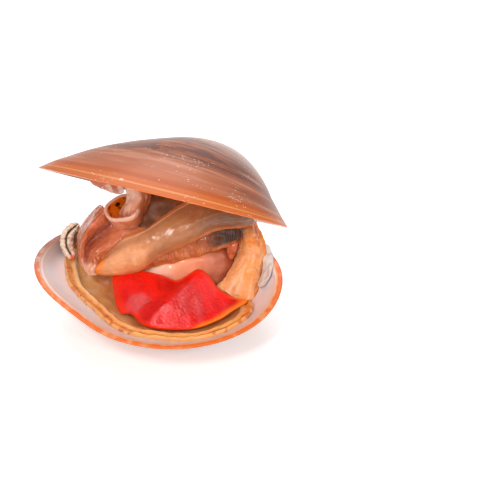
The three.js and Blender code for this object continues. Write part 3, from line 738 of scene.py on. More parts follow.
@dataclass
class Piece:
    """A piece of the clam.

    Attributes:
        name: the object's name.
        node: the CAD node that it replaces.
        slot: a material slot's name; not used.
    """

    name: str
    node: str
    slot: str

    def build(self) -> Skin:
        """The piece's surface, which each kind works out in its own way."""
        raise NotImplementedError

    def make(self, material: bpy.types.Material) -> None:
        """Builds the piece, gives it its material and says what it stands for.

        Args:
            material: its finish.
        """
        piece = self.build().mesh(self.name)
        piece.data.materials.append(material)
        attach(piece, BODY)
        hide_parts(self.node)
        log.info("%s: %d faces for %s", self.name, len(piece.data.polygons), self.node)


# ==== The shell ====


@dataclass(frozen=True)
class Swelling:
    """A swelling or a flat of the outline: where, how much of the radius, and how far it spreads."""

    place: float
    rise: float
    spread: float


@dataclass(frozen=True)
class ShellForm:
    """The form that both valves share, in the valve's own frame.

    The outline is an ellipse with swellings. The growth line that has turned by an angle is the outline made
    smaller by exp(-angle / growth) and turned about an axis behind the hinge margin.

    Attributes:
        length, height: of the ellipse.
        outline_turn: its turn in the valve's plane.
        umbo_place: where the beak is on the outline.
        swellings: what bends the ellipse.
        growth: turn in which the shell shrinks by e.
        growth_axis: distance of the growth axis behind the margin.
        skew: sideways lean of the beaks.
        wall, rim_wall: thickness in the middle and at the edge.
        lip, hinge_plate, hinge_spread: width of the lip, what is added under the beak, and how far round.
        cavity_slope: steepest wall of the hollow.
        cell: spacing of the map of the room.
    """

    length: float = 90.0
    height: float = 70.4
    outline_turn: float = -0.133
    umbo_place: float = 1.148
    swellings: tuple[Swelling, ...] = (
        Swelling(1.148, 0.067, 0.734), Swelling(0.583, 0.059, 0.413), Swelling(1.941, -0.056, 0.586),
        Swelling(3.14, 0.057, 0.397), Swelling(-2.26, -0.087, 0.497), Swelling(-1.052, 0.022, 0.545))
    growth: float = 1.016
    growth_axis: float = 3.66
    skew: float = -0.086
    wall: float = 3.0
    rim_wall: float = 1.7
    lip: float = 2.4
    hinge_plate: float = 4.5
    hinge_spread: float = 0.5
    cavity_slope: float = 2.2
    cell: float = 0.75

    def raw_radius(self, angle: Array) -> Array:
        """Radius before the length is set: the ellipse's, times 1 + the sum of rise * bell."""
        flat = np.hypot(np.cos(angle) / self.length, np.sin(angle) / self.height)
        total = np.ones_like(angle)
        for swelling in self.swellings:
            total = total + swelling.rise * bell(away(angle, swelling.place), swelling.spread)
        return total / (2 * flat)

    @cached_property
    def scale(self) -> float:
        """What makes the outline as long as length says."""
        angle = np.arange(720) / 720 * TAU
        across = self.raw_radius(angle) * np.cos(angle)
        return self.length / float(across.max() - across.min())

    def radius(self, angle: Array) -> Array:
        """Radius of the outline about its middle, at an angle from the front end."""
        return self.raw_radius(angle) * self.scale

    @cached_property
    def umbo(self) -> Array:
        """The beak's place in the outline's own plane."""
        place = np.array([math.cos(self.umbo_place), math.sin(self.umbo_place)])
        return place * self.radius(np.array(self.umbo_place))

    def turned(self, x: Array, y: Array, angle: float) -> tuple[Array, Array]:
        """A point of the plane turned about the origin."""
        return x * math.cos(angle) - y * math.sin(angle), x * math.sin(angle) + y * math.cos(angle)

    def to_valve(self, x: Array, y: Array) -> tuple[Array, Array]:
        """From the outline's own plane to the valve frame."""
        return self.turned(x - self.umbo[0], self.umbo[1] - y, self.outline_turn)

    def from_valve(self, x: Array, y: Array) -> tuple[Array, Array]:
        """From the valve frame to the outline's own plane."""
        across, up = self.turned(x, y, -self.outline_turn)
        return across + self.umbo[0], self.umbo[1] - up

    def plane_point(self, angle: Array, share: Array | float,
                    inset: Array | float = 0.0) -> tuple[Array, Array]:
        """Point a share of the way from the middle to the outline less an inset."""
        reach = (self.radius(angle) - inset) * share
        return self.to_valve(reach * np.cos(angle), reach * np.sin(angle))

    def growth_points(self, turn: Array, angle: Array) -> Array:
        """Points of the outer surface: the rim scaled by exp(-turn / growth) and turned about the axis."""
        size = np.exp(-turn / self.growth)
        lean = self.skew * turn / self.growth
        x, y = self.plane_point(angle, 1.0)
        y = y + self.growth_axis
        across = np.cos(lean) * x + np.sin(lean) * y
        out = np.cos(lean) * y - np.sin(lean) * x
        return np.stack([size * across, size * out * np.cos(turn) - self.growth_axis,
                         size * out * np.sin(turn)], -1)

    def within(self, x: Array, y: Array, depth: Array) -> Array:
        """Whether points of the valve frame are inside the outer surface."""
        turn = np.arctan2(depth, y + self.growth_axis)
        size = np.exp(-turn / self.growth)
        lean = self.skew * turn / self.growth
        across = x / size
        out = np.hypot(depth, y + self.growth_axis) / size
        plane = self.from_valve(np.cos(lean) * across - np.sin(lean) * out,
                                np.sin(lean) * across + np.cos(lean) * out - self.growth_axis)
        return np.hypot(*plane) < self.radius(np.arctan2(plane[1], plane[0]))

    def outer_depth(self, x: Array, y: Array) -> Array:
        """Depth of the outer surface behind points of the valve's plane, found by halving."""
        near, far = np.zeros_like(x), np.full_like(x, self.height / 2)
        for _ in range(22):
            half = (near + far) / 2
            hit = self.within(x, y, half)
            near, far = np.where(hit, half, near), np.where(hit, far, half)
        return near

    def lip_width(self, angle: Array) -> Array:
        """Width of the lip, with the hinge plate's bell under the beak."""
        return self.lip + self.hinge_plate * bell(angle - self.umbo_place, self.hinge_spread)

    def hollow_depth(self, angle: Array, share: Array) -> Array:
        """Depth of the hollow: the outer depth less the wall along the slope, no steeper than the ramp."""
        x, y = self.plane_point(angle, share, self.lip_width(angle))
        outer = self.outer_depth(x, y)
        probe = 0.5
        slope_x = (self.outer_depth(x + probe, y) - outer) / probe
        slope_y = (self.outer_depth(x, y + probe) - outer) / probe
        wall = self.wall + (self.rim_wall - self.wall) * share ** 3
        straight = outer - wall * np.sqrt(1 + slope_x ** 2 + slope_y ** 2)
        from_lip = (self.radius(angle) - self.lip_width(angle)) * (1 - share)
        return np.maximum(0, np.minimum(straight, from_lip * self.cavity_slope))

    @cached_property
    def room_map(self) -> tuple[Array, Array, Array]:
        """Depth that is free above the shell, on a square grid: its x, its y, and the depths."""
        x, y = np.arange(-70.0, 50.0, self.cell), np.arange(-12.0, 82.0, self.cell)
        across, down = np.meshgrid(x, y, indexing="ij")
        plane_x, plane_y = self.from_valve(across, down)
        angle = np.arctan2(plane_y, plane_x)
        share = np.hypot(plane_x, plane_y) / (self.radius(angle) - self.lip_width(angle))
        depth = np.where(share < 1, self.hollow_depth(angle, np.minimum(share, 1)), 0.0)
        return x, y, depth

    def room(self, x: Array, y: Array) -> Array:
        """Free depth at points of the valve's plane, between the four nearest points of the map."""
        xs, ys, depth = self.room_map
        along = np.clip((x - xs[0]) / self.cell, 0, len(xs) - 1.001)
        down = np.clip((y - ys[0]) / self.cell, 0, len(ys) - 1.001)
        i, j = along.astype(int), down.astype(int)
        u, v = along - i, down - j
        return ((1 - u) * (1 - v) * depth[i, j] + u * (1 - v) * depth[i + 1, j]
                + (1 - u) * v * depth[i, j + 1] + u * v * depth[i + 1, j + 1])


FORM = ShellForm()


def pressed(points: Array, hold: Frames) -> Array:
    """Points pushed off a valve's inner face, straight away from it.

    A point whose depth in the valve is more than the free depth less the gap takes that depth.

    Args:
        points: in the row frame.
        hold: which valve.

    Returns:
        The moved points.
    """
    local = hold.into(points)
    free = FORM.room(local[..., 0], local[..., 1]) - PRESS_GAP
    local[..., 2] = hold.sign * np.minimum(hold.sign * local[..., 2], free)
    return hold.out(local)


@dataclass
class Valve(Piece):
    """One valve of the shell, from the middle of its hollow over the lip and the outside to the beak.

    Attributes:
        hold: how it lies.
        around, hollow_rows, lip_rows, outer_rows: of the grid.
        lip_crown: how far the lip's rounding stands up.
        line_depth, line_count: depth of the growth lines, and how many there are to a turn.
        stain, rear, tip: place round the rim and spread of the stain, the worn rear, whose outside is also
            painted paler as sheen, and its outermost tip.
        tip_turn: how far the tip's mark runs up the growth lines.
    """

    hold: Frames
    around: int = 300
    hollow_rows: int = 56
    lip_rows: int = 8
    outer_rows: int = 232
    lip_crown: float = 0.3
    line_depth: float = 0.07
    line_count: float = 24.0
    stain: tuple[float, float] = (2.9, 0.42)
    rear: tuple[float, float] = (3.2, 0.5)
    tip: tuple[float, float] = (3.0, 0.16)
    tip_turn: float = 0.2

    def hollow(self, angles: Array) -> tuple[Array, Array]:
        """The hollow's face at angles round the rim: points with their depth as z, and mm in from the rim."""
        share = 1 - (1 - np.linspace(0, 1, self.hollow_rows)) ** 1.4
        angle, share = np.meshgrid(angles, share)
        x, y = FORM.plane_point(angle, share, FORM.lip_width(angle))
        depth = FORM.hollow_depth(angle, share)
        inset = FORM.lip_width(angle) + (1 - share) * (FORM.radius(angle) - FORM.lip_width(angle))
        return np.stack([x, y, depth], -1), inset

    def lip(self, angles: Array) -> tuple[Array, Array]:
        """The lip, crown * (1 - (2t - 1)^4) high at a share t of its width, given as the hollow is."""
        angle, across = np.meshgrid(angles, np.linspace(0, 1, self.lip_rows + 2)[1:-1])
        inset = FORM.lip_width(angle) * (1 - across)
        x, y = FORM.plane_point(angle, 1.0, inset)
        height = self.lip_crown * (1 - (2 * across - 1) ** 4)
        return np.stack([x, y, -height], -1), inset

    def outside(self, angles: Array) -> tuple[Array, Array]:
        """The outer surface with its growth lines.

        The turn goes as pi * share^1.3. The relief is a sum of sines of the turn whose phases wander slowly
        round the rim, with grooves where the sum is low.

        Args:
            angles: round the rim.

        Returns:
            Points with their depth as z, and each one's turn.
        """
        turn = math.pi * np.linspace(0, 1, self.outer_rows) ** 1.3
        angle, turn = np.meshgrid(angles, turn)
        points = FORM.growth_points(turn, angle)
        spiral = np.stack([np.cos(angle) * 0.5, np.sin(angle) * 0.5, turn * self.line_count], -1)
        coarse = waves(spiral * np.array([1, 1, 0.35]), 3.0, 4)
        fine = waves(spiral, 3.2, 9, 14)
        relief = self.line_depth * (fine - 0.8 * np.maximum(0, -fine - 0.5)) + 0.1 * coarse
        relief *= np.exp(-turn / 1.6) * np.clip(turn / 0.02, 0, 1)
        normal = normals_of(points)
        outward = np.sign(normal[5, :, 2].mean())
        return points + (outward * relief)[..., None] * normal, turn

    def build(self) -> Skin:
        """The valve as a closed surface, with its marks."""
        angles = ring(self.around)
        hollow, hollow_inset = self.hollow(angles)
        lip, lip_inset = self.lip(angles)
        outside, turn = self.outside(angles)
        beak = np.broadcast_to(outside[-1].mean(0), (1, self.around, 3))
        rows = np.concatenate([hollow, lip, outside, beak])
        rows[..., 2] *= self.hold.sign
        inner = len(hollow) + len(lip)
        insets = np.concatenate([hollow_inset, lip_inset, np.zeros((len(rows) - inner, self.around))])
        turns = np.concatenate([np.zeros((inner, self.around)), turn, turn[-1:]])
        angle = np.broadcast_to(angles, turns.shape)
        inside = np.zeros_like(turns)
        inside[:inner] = 1.0
        stain, rear, tip = (bell(away(angle, place), spread)
                            for place, spread in (self.stain, self.rear, self.tip))
        world = self.hold.out(rows)
        world[..., 2] = np.maximum(world[..., 2], 0.0)
        return Skin(world, {"shell": np.stack([np.cos(angle), np.sin(angle), turns], -1), "turn": turns,
                            "inset": insets, "inside": inside, "stain": stain, "rear": rear,
                            "tip": tip * bell(turns, self.tip_turn)})


@dataclass
class MantleLining(Piece):
    """The mantle that lines a valve: a thin sheet with a wavy speckled edge and a fold inside it.

    Attributes:
        hold: how it lies.
        inset, rear_inset, hinge_inset: bare shell at the lower edge, and what is added at the rear and hinge.
        bends: bells added to it: angle, height and spread.
        sheet, band, ridge, ridge_at: thickness, and what the edge band and the fold add, in mm from the edge.
        reach: how far in from the edge the rows go before they draw together.
        rear: angle where the edge is most speckled, and how far in the specks go.
        buried: how far its underside goes into the wall of the shell.
        around, rows: of the grid.
    """

    hold: Frames
    inset: float = 7.5
    rear_inset: float = 4.5
    hinge_inset: float = 17.0
    bends: tuple[tuple[float, float, float], ...] = ((-1.15, 4.0, 0.35), (2.88, -6.5, 0.25), (0.5, 7.0, 0.3))
    sheet: float = 1.5
    band: float = 0.3
    ridge: float = 1.3
    ridge_at: float = 4.4
    reach: float = 26.0
    rear: tuple[float, float] = (2.9, 4.2)
    buried: float = 0.3
    around: int = 420
    rows: int = 70

    def build(self) -> Skin:
        """The lining: the hollow's depth less its thickness on top, and against the wall below.

        At d mm from the edge it is sheet + band * bell(d / 2) + ridge * bell((d - ridge_at) / 1.1) thick,
        with small wrinkles that run in from the edge.
        """
        angles = ring(self.around)
        circle = np.stack([np.cos(angles), np.sin(angles)], -1)
        edge = (self.inset + self.rear_inset * np.maximum(0, -circle[:, 0]) ** 2
                + self.hinge_inset * np.maximum(0, circle[:, 1]) ** 3
                + 0.35 * waves(circle, 0.4, 21) + 0.1 * waves(circle, 0.12, 22))
        for place, rise, spread in self.bends:
            edge += rise * bell(away(angles, place), spread)
        far = FORM.radius(angles) - edge
        edge_share = far / (FORM.radius(angles) - FORM.lip_width(angles))
        angle, inward = np.meshgrid(angles, np.linspace(0, 1, self.rows) ** 1.7)
        distance = inward * self.reach
        share = edge_share * (1 - distance / np.maximum(far, self.reach)) * (1 - 0.999 * inward ** 6)
        x, y = FORM.plane_point(angle, share, FORM.lip_width(angle))
        wall = FORM.hollow_depth(angle, share)
        crease = waves(np.stack([np.cos(angle) * 9, np.sin(angle) * 9, distance * 0.12], -1), 0.9, 23)
        thick = (self.sheet + self.band * bell(distance, 2.0)
                 + self.ridge * bell(distance - self.ridge_at, 1.1)
                 + 0.06 * crease * bell(distance - 2.0, 3.0) + 0.12 * waves(np.stack([x, y], -1), 6.0, 24))
        thick = thick * np.sqrt(np.clip(distance / 0.8, 0, 1))
        rows = np.concatenate([np.stack([x, y, wall - thick - PRESS_GAP], -1)[::-1],
                               np.stack([x, y, wall + self.buried], -1)])
        rows[..., 2] *= self.hold.sign
        place, depth = self.rear
        rear = np.clip(0.5 + 0.9 * np.cos(angle - place), 0, 1) * (1 - np.clip(distance / depth, 0, 1) ** 4)
        return Skin(self.hold.out(rows), {"edge": np.concatenate([distance[::-1], distance]),
                                          "rear": np.concatenate([rear[::-1], rear])})


# ==== Soft pieces along a path ====


@dataclass(frozen=True)
class Station:
    """A place on a soft piece's path, with half its width and half its thickness."""

    at: Triple
    wide: float
    thick: float


Relief = Callable[[Array, Array, Array], Array]


@dataclass
class SoftPiece(Piece):
    """A flattened tube that swells along a path, in the gape's frame.

    Attributes:
        stations: the path.
        relief: gives how far each point stands out, from its share along, its angle round and its place.
        rows, around: of the grid.
        ends: share of the length in which an end rounds off.
    """

    stations: tuple[Any, ...]
    relief: Relief
    rows: int = 120
    around: int = 96
    ends: float = 0.16

    def form(self, t: Array, angle: Array) -> Array:
        """The piece without its relief.

        Args:
            t: shares along it.
            angle: round its section.

        Returns:
            (shares, angles, 3) in the gape's frame.
        """
        knots = np.array([(*station.at, station.wide, station.thick) for station in self.stations], float)
        path = spline(knots, t)
        half = path[:, 3:] * fullness(t, self.ends)[:, None]
        return tube(path[:, :3], half[:, None], t, angle)

    def build(self) -> Skin:
        """The form with its relief, pressed off the valves, with its marks."""
        t, angle = closing(self.rows), ring(self.around)
        grid = self.form(t, angle)
        along, around = np.meshgrid(t, angle, indexing="ij")
        normal = normals_of(grid)
        outward = np.sign(np.einsum("ijk,ijk->ij", normal, grid - grid.mean(1, keepdims=True)).mean())
        amount = outward * self.relief(along, around, grid) * fullness(t, self.ends)[:, None]
        world = Frames.GAPE.out(grid + amount[..., None] * normal)
        for hold in (Frames.LOWER, Frames.UPPER):
            world = pressed(world, hold)
        return Skin(world, {"along": along, "side": np.cos(around), "face": np.sin(around)})


@dataclass
class Sheet(SoftPiece):
    """A slack sheet of flesh, whose stations are rows of places across it.

    Attributes:
        thick: of the sheet, in the middle.
        square: how square its edge is; 1 makes its section an ellipse.
    """

    thick: float = 3.0
    square: float = 0.55

    def patch(self, t: Array, v: Array) -> Array:
        """The face at shares t along and v across: curves along the columns, then a curve across them."""
        columns = np.array(self.stations, float).transpose(1, 0, 2)
        along = spline(columns, np.broadcast_to(t, (len(columns), len(t)))).transpose(1, 0, 2)
        return spline(along, v)

    def form(self, t: Array, angle: Array) -> Array:
        """The face and its back, which lies straight into the gape: the section is a squared-off ellipse."""
        swell = fullness(t, self.ends)[:, None]
        side = np.sign(np.cos(angle)) * np.abs(np.cos(angle)) ** 0.9
        rise = np.sign(np.sin(angle)) * np.abs(np.sin(angle)) ** self.square
        face = self.patch(t, 0.5 + 0.5 * swell * side)
        return face + (0.5 * self.thick * (rise - 1) * swell)[..., None] * UP


@dataclass
class Foot(Piece):
    """The foot: a lobed cushion with a ridge that runs up to a peak.

    Attributes:
        middle: its place in the gape.
        edge_points: its outline, from the middle.
        lean: how far it leans back for each mm up.
        crown, half_length: how much its ends lie lower.
        edge, body: thickness at the edge and what is added in the middle.
        peak: top of the ridge; rise, steep, gentle, ridge_length: its height and flanks.
        lobe: x, y, rise, width and height of the lobe at the left.
        rows, around: of the grid.
    """

    middle: Triple = (-24.0, -18.0, 24.0)
    edge_points: tuple[tuple[float, float], ...] = (
        (-24.2, 9.8), (-15, 10.6), (-7.5, 9.2), (-2, 7.4), (2.4, 9.6), (6.2, 11.4), (10, 8.6), (13, 4.4),
        (18.4, 1.4), (23.2, 0), (18.4, -3.2), (12.6, -6.8), (4, -9.6), (-5, -9.8), (-13, -8.4),
        (-17.6, -4.6), (-21.8, -4), (-24, 2))
    lean: float = 0.43
    crown: float = 2.4
    half_length: float = 24.0
    edge: float = 1.3
    body: float = 3.0
    peak: tuple[float, float] = (6.1, 10.5)
    rise: float = 4.6
    steep: float = 3.4
    gentle: float = 8.0
    ridge_length: float = 26.0
    lobe: tuple[float, float, float, float, float] = (-17.0, 3.5, 2.6, 9.0, 7.0)
    rows: int = 70
    around: int = 260

    def outline(self) -> Array:
        """The closed curve through the edge points, evenly spaced."""
        knots = np.array(self.edge_points)
        count = len(knots)
        full = np.vstack([knots[-2:], knots, knots[:3]])
        share = np.linspace(0, 1, 2000, endpoint=False)
        places = spline(full, (2 + share * count) / (len(full) - 1))
        ahead = np.vstack([places[1:], places[:1]])
        run = np.concatenate([[0], np.cumsum(np.linalg.norm(ahead - places, axis=1))])
        steps = np.linspace(0, run[-1], self.around, endpoint=False)
        closed = np.vstack([places, places[:1]])
        return np.stack([np.interp(steps, run, closed[:, part]) for part in range(2)], -1)

    def height(self, x: Array, y: Array) -> Array:
        """How far the upper face stands out: the ridge's and the lobe's bells less the crown and the lean."""
        across = ((x - self.peak[0]) - (y - self.peak[1])) * math.sqrt(0.5)
        down = -((x - self.peak[0]) + (y - self.peak[1])) * math.sqrt(0.5)
        flank = np.where(across < 0, self.steep, self.gentle)
        ridge = self.rise * np.exp(-((across / flank) ** 2) - (down / self.ridge_length) ** 2)
        left, up, rise, wide, high = self.lobe
        lobe = rise * np.exp(-(((x - left) / wide) ** 2) - ((y - up) / high) ** 2)
        return ridge + lobe - self.crown * (x / self.half_length) ** 2 - self.lean * y

    def build(self) -> Skin:
        """The cushion: its face out to the rounded edge, and its back."""
        share = np.sin(np.linspace(0, math.pi / 2, self.rows))[:, None, None]
        plane = self.outline()[None] * share
        x, y = plane[..., 0], plane[..., 1]
        radial = np.broadcast_to(share[..., 0], x.shape)
        thick = self.edge + self.body * (1 - radial ** 2)
        roll_off = 0.65 * self.edge * (1 - np.sqrt(1 - np.clip((radial - 0.9) / 0.1, 0, 1) ** 2))
        pimples = waves(plane, 1.6, 31, 16) * 0.03 + waves(plane * np.array([1.0, 0.6]), 5.0, 32) * 0.14
        height = self.height(x, y)
        top = np.stack([x, y, height + pimples * (1 - radial ** 8) - roll_off], -1)
        under = np.stack([x, y, height - thick + roll_off * 0.5], -1)[::-1]
        world = Frames.GAPE.out(np.concatenate([top, under]) + np.array(self.middle))
        front = np.clip((x + 2) / 9, 0, 1) * np.clip(radial * 3.4 - 2.4, 0, 1) * np.clip(1 - y / 4, 0, 1)
        return Skin(pressed(world, Frames.LOWER), {"share": np.concatenate([radial, radial[::-1]]),
                                                   "front": np.concatenate([front, front[::-1]])})


@dataclass
class SiphonMouth(Piece):
    """The siphon's curled mouth: a cup with a thick rolled rim.

    Attributes:
        place, axis: of the rim, in the gape.
        profile: radius and height of the cup's section, from under its base over the rim into the bore.
        around, rows: of the grid.
    """

    place: Triple = (-45.0, 15.0, 20.4)
    axis: Triple = (-0.2, 0.62, 0.76)
    profile: tuple[tuple[float, float], ...] = (
        (0, -9), (3.6, -8.7), (5.6, -6.4), (6.3, -3.4), (6.6, -1.6), (6.75, -0.4), (6.5, 0.3), (6, 0.5),
        (5.5, 0.2), (5.2, -0.7), (5, -2.2), (4.4, -4.2), (3, -6.2), (0, -7))
    around: int = 120
    rows: int = 110

    def build(self) -> Skin:
        """The profile turned round the axis, whose radius swells and whose rim dips as it goes round."""
        share = np.linspace(0, 1, self.rows)
        steps = spline(np.array(self.profile, float), share)
        radius, along = np.maximum(steps[:, :1], 0), steps[:, 1:]
        angle = ring(self.around) + math.pi
        dip = 0.7 * np.sin(angle + 0.9) + 0.25 * np.sin(3 * angle)
        axis = unit(np.array(self.axis))
        side = unit(np.cross(axis, UP))
        front = np.cross(side, axis)
        reach = radius * (1 + 0.07 * np.sin(2 * angle + 0.6) + 0.03 * np.sin(5 * angle + 2.0))
        rise = along + dip * np.clip(1 + along / 5, 0, 1) * np.clip(radius / 4, 0, 1)
        grid = (np.array(self.place) + rise[..., None] * axis
                + (reach * np.cos(angle))[..., None] * side + (reach * np.sin(angle))[..., None] * front)
        grid += 0.12 * waves(grid, 2.6, 41)[..., None] * axis
        bore = np.clip((share[:, None] - 0.6) / 0.1, 0, 1) + 0 * reach
        return Skin(pressed(Frames.GAPE.out(grid), Frames.UPPER),
                    {"bore": bore, "rim": bell(rise - 0.3, 1.3) * (reach > 3.5)})


def hinge_middle(angle: float) -> Array:
    """Middle of the hinge gap behind a point of the rim, in the row frame."""
    x, y = FORM.plane_point(np.array(angle), 1.0)
    rim = np.array([float(x), float(y), 0.0])
    return (Frames.LOWER.out(rim) + Frames.UPPER.out(rim)) / 2


@dataclass
class Ligament(Piece):
    """The dark elastic band that fills the hinge gap along the rim behind the beaks.

    Attributes:
        angles, wide, thick: along the rim, with half its width and half its height.
        bulge: how far it stands out behind the rim.
        ends: share of the length in which an end rounds off.
        rows, around: of the grid.
    """

    angles: tuple[float, ...] = (1.3, 1.5, 1.8, 2.1)
    wide: tuple[float, ...] = (1.6, 2.2, 2.2, 1.4)
    thick: tuple[float, ...] = (1.8, 3.0, 3.1, 2.0)
    bulge: float = 0.6
    ends: float = 0.16
    rows: int = 90
    around: int = 96

    def build(self) -> Skin:
        """A tube along the hinge, with fine lines along it: 1 + 0.03 sin(14 angle + 3 t) and slow waves."""
        t, angle = closing(self.rows), ring(self.around) + math.pi
        knots = np.array([hinge_middle(place) + np.array([0, self.bulge, 0]) for place in self.angles])
        half = spline(np.stack([self.wide, self.thick], -1), t) * fullness(t, self.ends)[:, None]
        down, turn = np.meshgrid(t, angle, indexing="ij")
        lines = 1 + 0.03 * np.sin(14 * turn + 3 * down) + 0.03 * waves(
            np.stack([np.cos(turn) * 2, np.sin(turn) * 2, down * 9], -1), 1.2, 51)
        return Skin(tube(spline(knots, t), half[:, None] * lines[..., None], t, angle), {"along": down})


# ==== The soft body's pieces ====


def fold_relief(along: Array, angle: Array, grid: Array) -> Array:
    """Shallow lumps and lengthwise creases of the mantle fold."""
    face = np.sin(angle)
    hollow = bell(np.cos(angle) + 0.2, 0.4) * bell(along - 0.4, 0.3) * (face > 0)
    return 0.22 * waves(grid, 11.0, 61) + 0.06 * waves(grid, 3.0, 62) - 0.7 * hollow


def gill_relief(along: Array, angle: Array, grid: Array) -> Array:
    """Lamellae across the gill: sharp ridges of a sine of its length."""
    ridge = np.abs(np.sin(along * 44 * math.pi - 3.4 * np.cos(angle) + 0.7 * waves(grid, 5.0, 76)))
    return 0.16 * (ridge - 0.6) + 0.25 * waves(grid, 5.0, 63)


def siphon_relief(along: Array, angle: Array, grid: Array) -> Array:
    """Slack skin: broad lumps with creases that run along the siphon."""
    side = np.cos(angle)
    creases = np.abs(np.sin(9 * side + 6 * along + 1.6 * waves(grid, 7.0, 65))) * bell(side - 0.1, 0.5)
    return 0.22 * waves(grid, 6.0, 64) + 0.5 * (creases - 0.4) + 0.06 * waves(grid, 1.8, 66)


def tip_relief(along: Array, angle: Array, grid: Array) -> Array:
    """Two wrinkled lips with a slit between them, on the face of the siphon's tip."""
    slit = -1.3 * bell(np.mod(angle - math.pi / 2 + math.pi, TAU) - math.pi, 0.32)
    return slit + 0.17 * np.sin(along * 62) + 0.14 * waves(grid, 1.6, 67)


def strand_relief(along: Array, angle: Array, grid: Array) -> Array:
    """Fibres along a strand of muscle."""
    return 0.12 * np.sin(9 * angle + 2 * waves(grid, 8.0, 68)) + 0.1 * waves(grid, 3.4, 69)


def soft_relief(along: Array, angle: Array, grid: Array) -> Array:
    """Slack lumps."""
    return 0.3 * waves(grid, 6.5, 70) + 0.08 * waves(grid, 2.0, 71)


def flap_relief(along: Array, angle: Array, grid: Array) -> Array:
    """Waves of a thin sheet, with a ragged lower edge."""
    return 0.12 * waves(grid, 2.6, 78) - 0.5 * (np.cos(angle) > 0.9) * np.abs(waves(grid, 1.4, 79))


def film_relief(along: Array, angle: Array, grid: Array) -> Array:
    """Small waves of a thin film."""
    return 0.16 * waves(grid, 3.0, 77)


def inner_relief(along: Array, angle: Array, grid: Array) -> Array:
    """Deep slack folds that run along the inner mantle."""
    return 0.8 * waves(grid * np.array([0.45, 1.0, 1.0]), 5.0, 80) + 0.14 * waves(grid, 2.4, 81)


def muscle_relief(along: Array, angle: Array, grid: Array) -> Array:
    """Broad lumps with fibres along the adductor."""
    side = np.cos(angle)
    pleats = np.abs(np.sin(5 * side + 0.9 * waves(grid, 9.0, 73)))
    crumple = waves(grid, 2.8, 75) * bell(along - 0.55, 0.2) * bell(side - 0.5, 0.5)
    return 0.25 * waves(grid, 6.0, 72) + 0.28 * (pleats - 0.6) + 0.4 * crumple + 0.07 * waves(grid, 1.7, 74)


FOLD = Sheet("mantle_wide_fold", "mantle_fold", "fold", (
    ((-56, -8.8, 19), (-54.6, -7, 21), (-53, -4.4, 21.4), (-51.4, -2, 19)),
    ((-51.6, -9, 19.8), (-50.2, -5.6, 23), (-49.4, -2.2, 23.4), (-48.6, 1, 20.4)),
    ((-45, -8.6, 20.6), (-44.2, -4, 25), (-44.2, 0.4, 25.4), (-44.4, 4.2, 22)),
    ((-38.6, -7.6, 21), (-38, -2.2, 26.2), (-38.2, 2.6, 26.6), (-39.2, 6.6, 23)),
    ((-34.2, -4.2, 22.6), (-33.6, 0.6, 27.6), (-33.6, 5.4, 27.4), (-35, 8.6, 24)),
    ((-27.2, -0.2, 24), (-27, 4.8, 28.4), (-27.4, 9.6, 27.4), (-29.4, 12.8, 24.2)),
    ((-19.2, 2.8, 23.8), (-19.6, 8.2, 26.8), (-20.8, 13.2, 25.6), (-23.6, 17, 22.6)),
    ((-12.2, 6.4, 21), (-12.4, 11.4, 23.6), (-13.6, 16.8, 22.4), (-16.6, 20.6, 20)),
    ((-4, 7.8, 17.6), (-4, 12.8, 19.4), (-5.6, 18.6, 18.2), (-8.6, 22.6, 16)),
    ((2, 8.6, 12.6), (2, 14, 14.6), (1, 20, 14.6), (-1.6, 24, 13))), fold_relief, 200, 150, 0.025)

GILL = Sheet("gill_lamellae", "gill", "gill", (
    ((-39, -7.3, 18.6), (-39.4, -6, 19.2), (-39.8, -4.8, 19.2)),
    ((-33.7, -6.1, 19.2), (-34.5, -4.4, 20.4), (-35.4, -2.8, 20.6)),
    ((-26.6, -4.5, 19.6), (-27.8, -1.6, 21), (-29, 1.1, 21.6)),
    ((-19.5, -2.5, 19.2), (-20.7, 1, 20.8), (-22, 4.3, 21.6)),
    ((-13.5, -0.6, 18), (-14.6, 3.7, 19.6), (-15.7, 7.8, 20.2)),
    ((-7.8, 1, 16), (-9, 5.8, 17.6), (-10, 10.4, 18.2)),
    ((-3, 2.2, 13.4), (-3.2, 7.2, 15), (-3.4, 11.8, 15.8))), gill_relief, 460, 90, 0.03, thick=1.8)

VISCERA = SoftPiece("visceral_belly", "visceral_mass", "viscera", (
    Station((-47, -7, 8), 4, 4), Station((-38, -6.5, 9), 8, 7), Station((-26, -6, 10), 10.5, 8.5),
    Station((-15, -5, 8.5), 10.5, 8), Station((-7, -4, 4), 8, 6), Station((-2, -3, 1), 4, 4)), soft_relief)

SIPHON = Sheet("siphon_slack_tube", "siphon_body", "siphon", (
    ((-60.2, -6.2, 14.6), (-58.4, -8, 17.6), (-56.6, -9, 18.8), (-54.6, -9.2, 19), (-52, -9, 17.4)),
    ((-61.6, -4, 13.6), (-59.8, -4.6, 19), (-57.6, -5, 20), (-54.8, -5.2, 20.2), (-51, -5.4, 17.6)),
    ((-62.2, 0, 12.6), (-60.4, -0.2, 18.6), (-58, -0.6, 17.4), (-54.4, -1.2, 19.6), (-48.6, -2, 18)),
    ((-62.2, 4.8, 12), (-59.4, 4.2, 19), (-56.2, 2.8, 14.6), (-51.6, 1.2, 19.4), (-44.8, -0.2, 19)),
    ((-61, 9, 11), (-57, 7.8, 19.8), (-53.6, 5.6, 14), (-48.6, 3.6, 19), (-41.2, 2.4, 20)),
    ((-57.4, 13.4, 11), (-53.8, 11.6, 20), (-50.4, 8.6, 16), (-45.2, 6.6, 19), (-37.6, 5.2, 20.4)),
    ((-53.2, 17.2, 12.6), (-51, 14.8, 18.6), (-47.8, 12, 15.4), (-43, 9.8, 17.4), (-35.6, 8, 19))),
    siphon_relief, 190, 170, 0.035, thick=3.8, square=0.7)

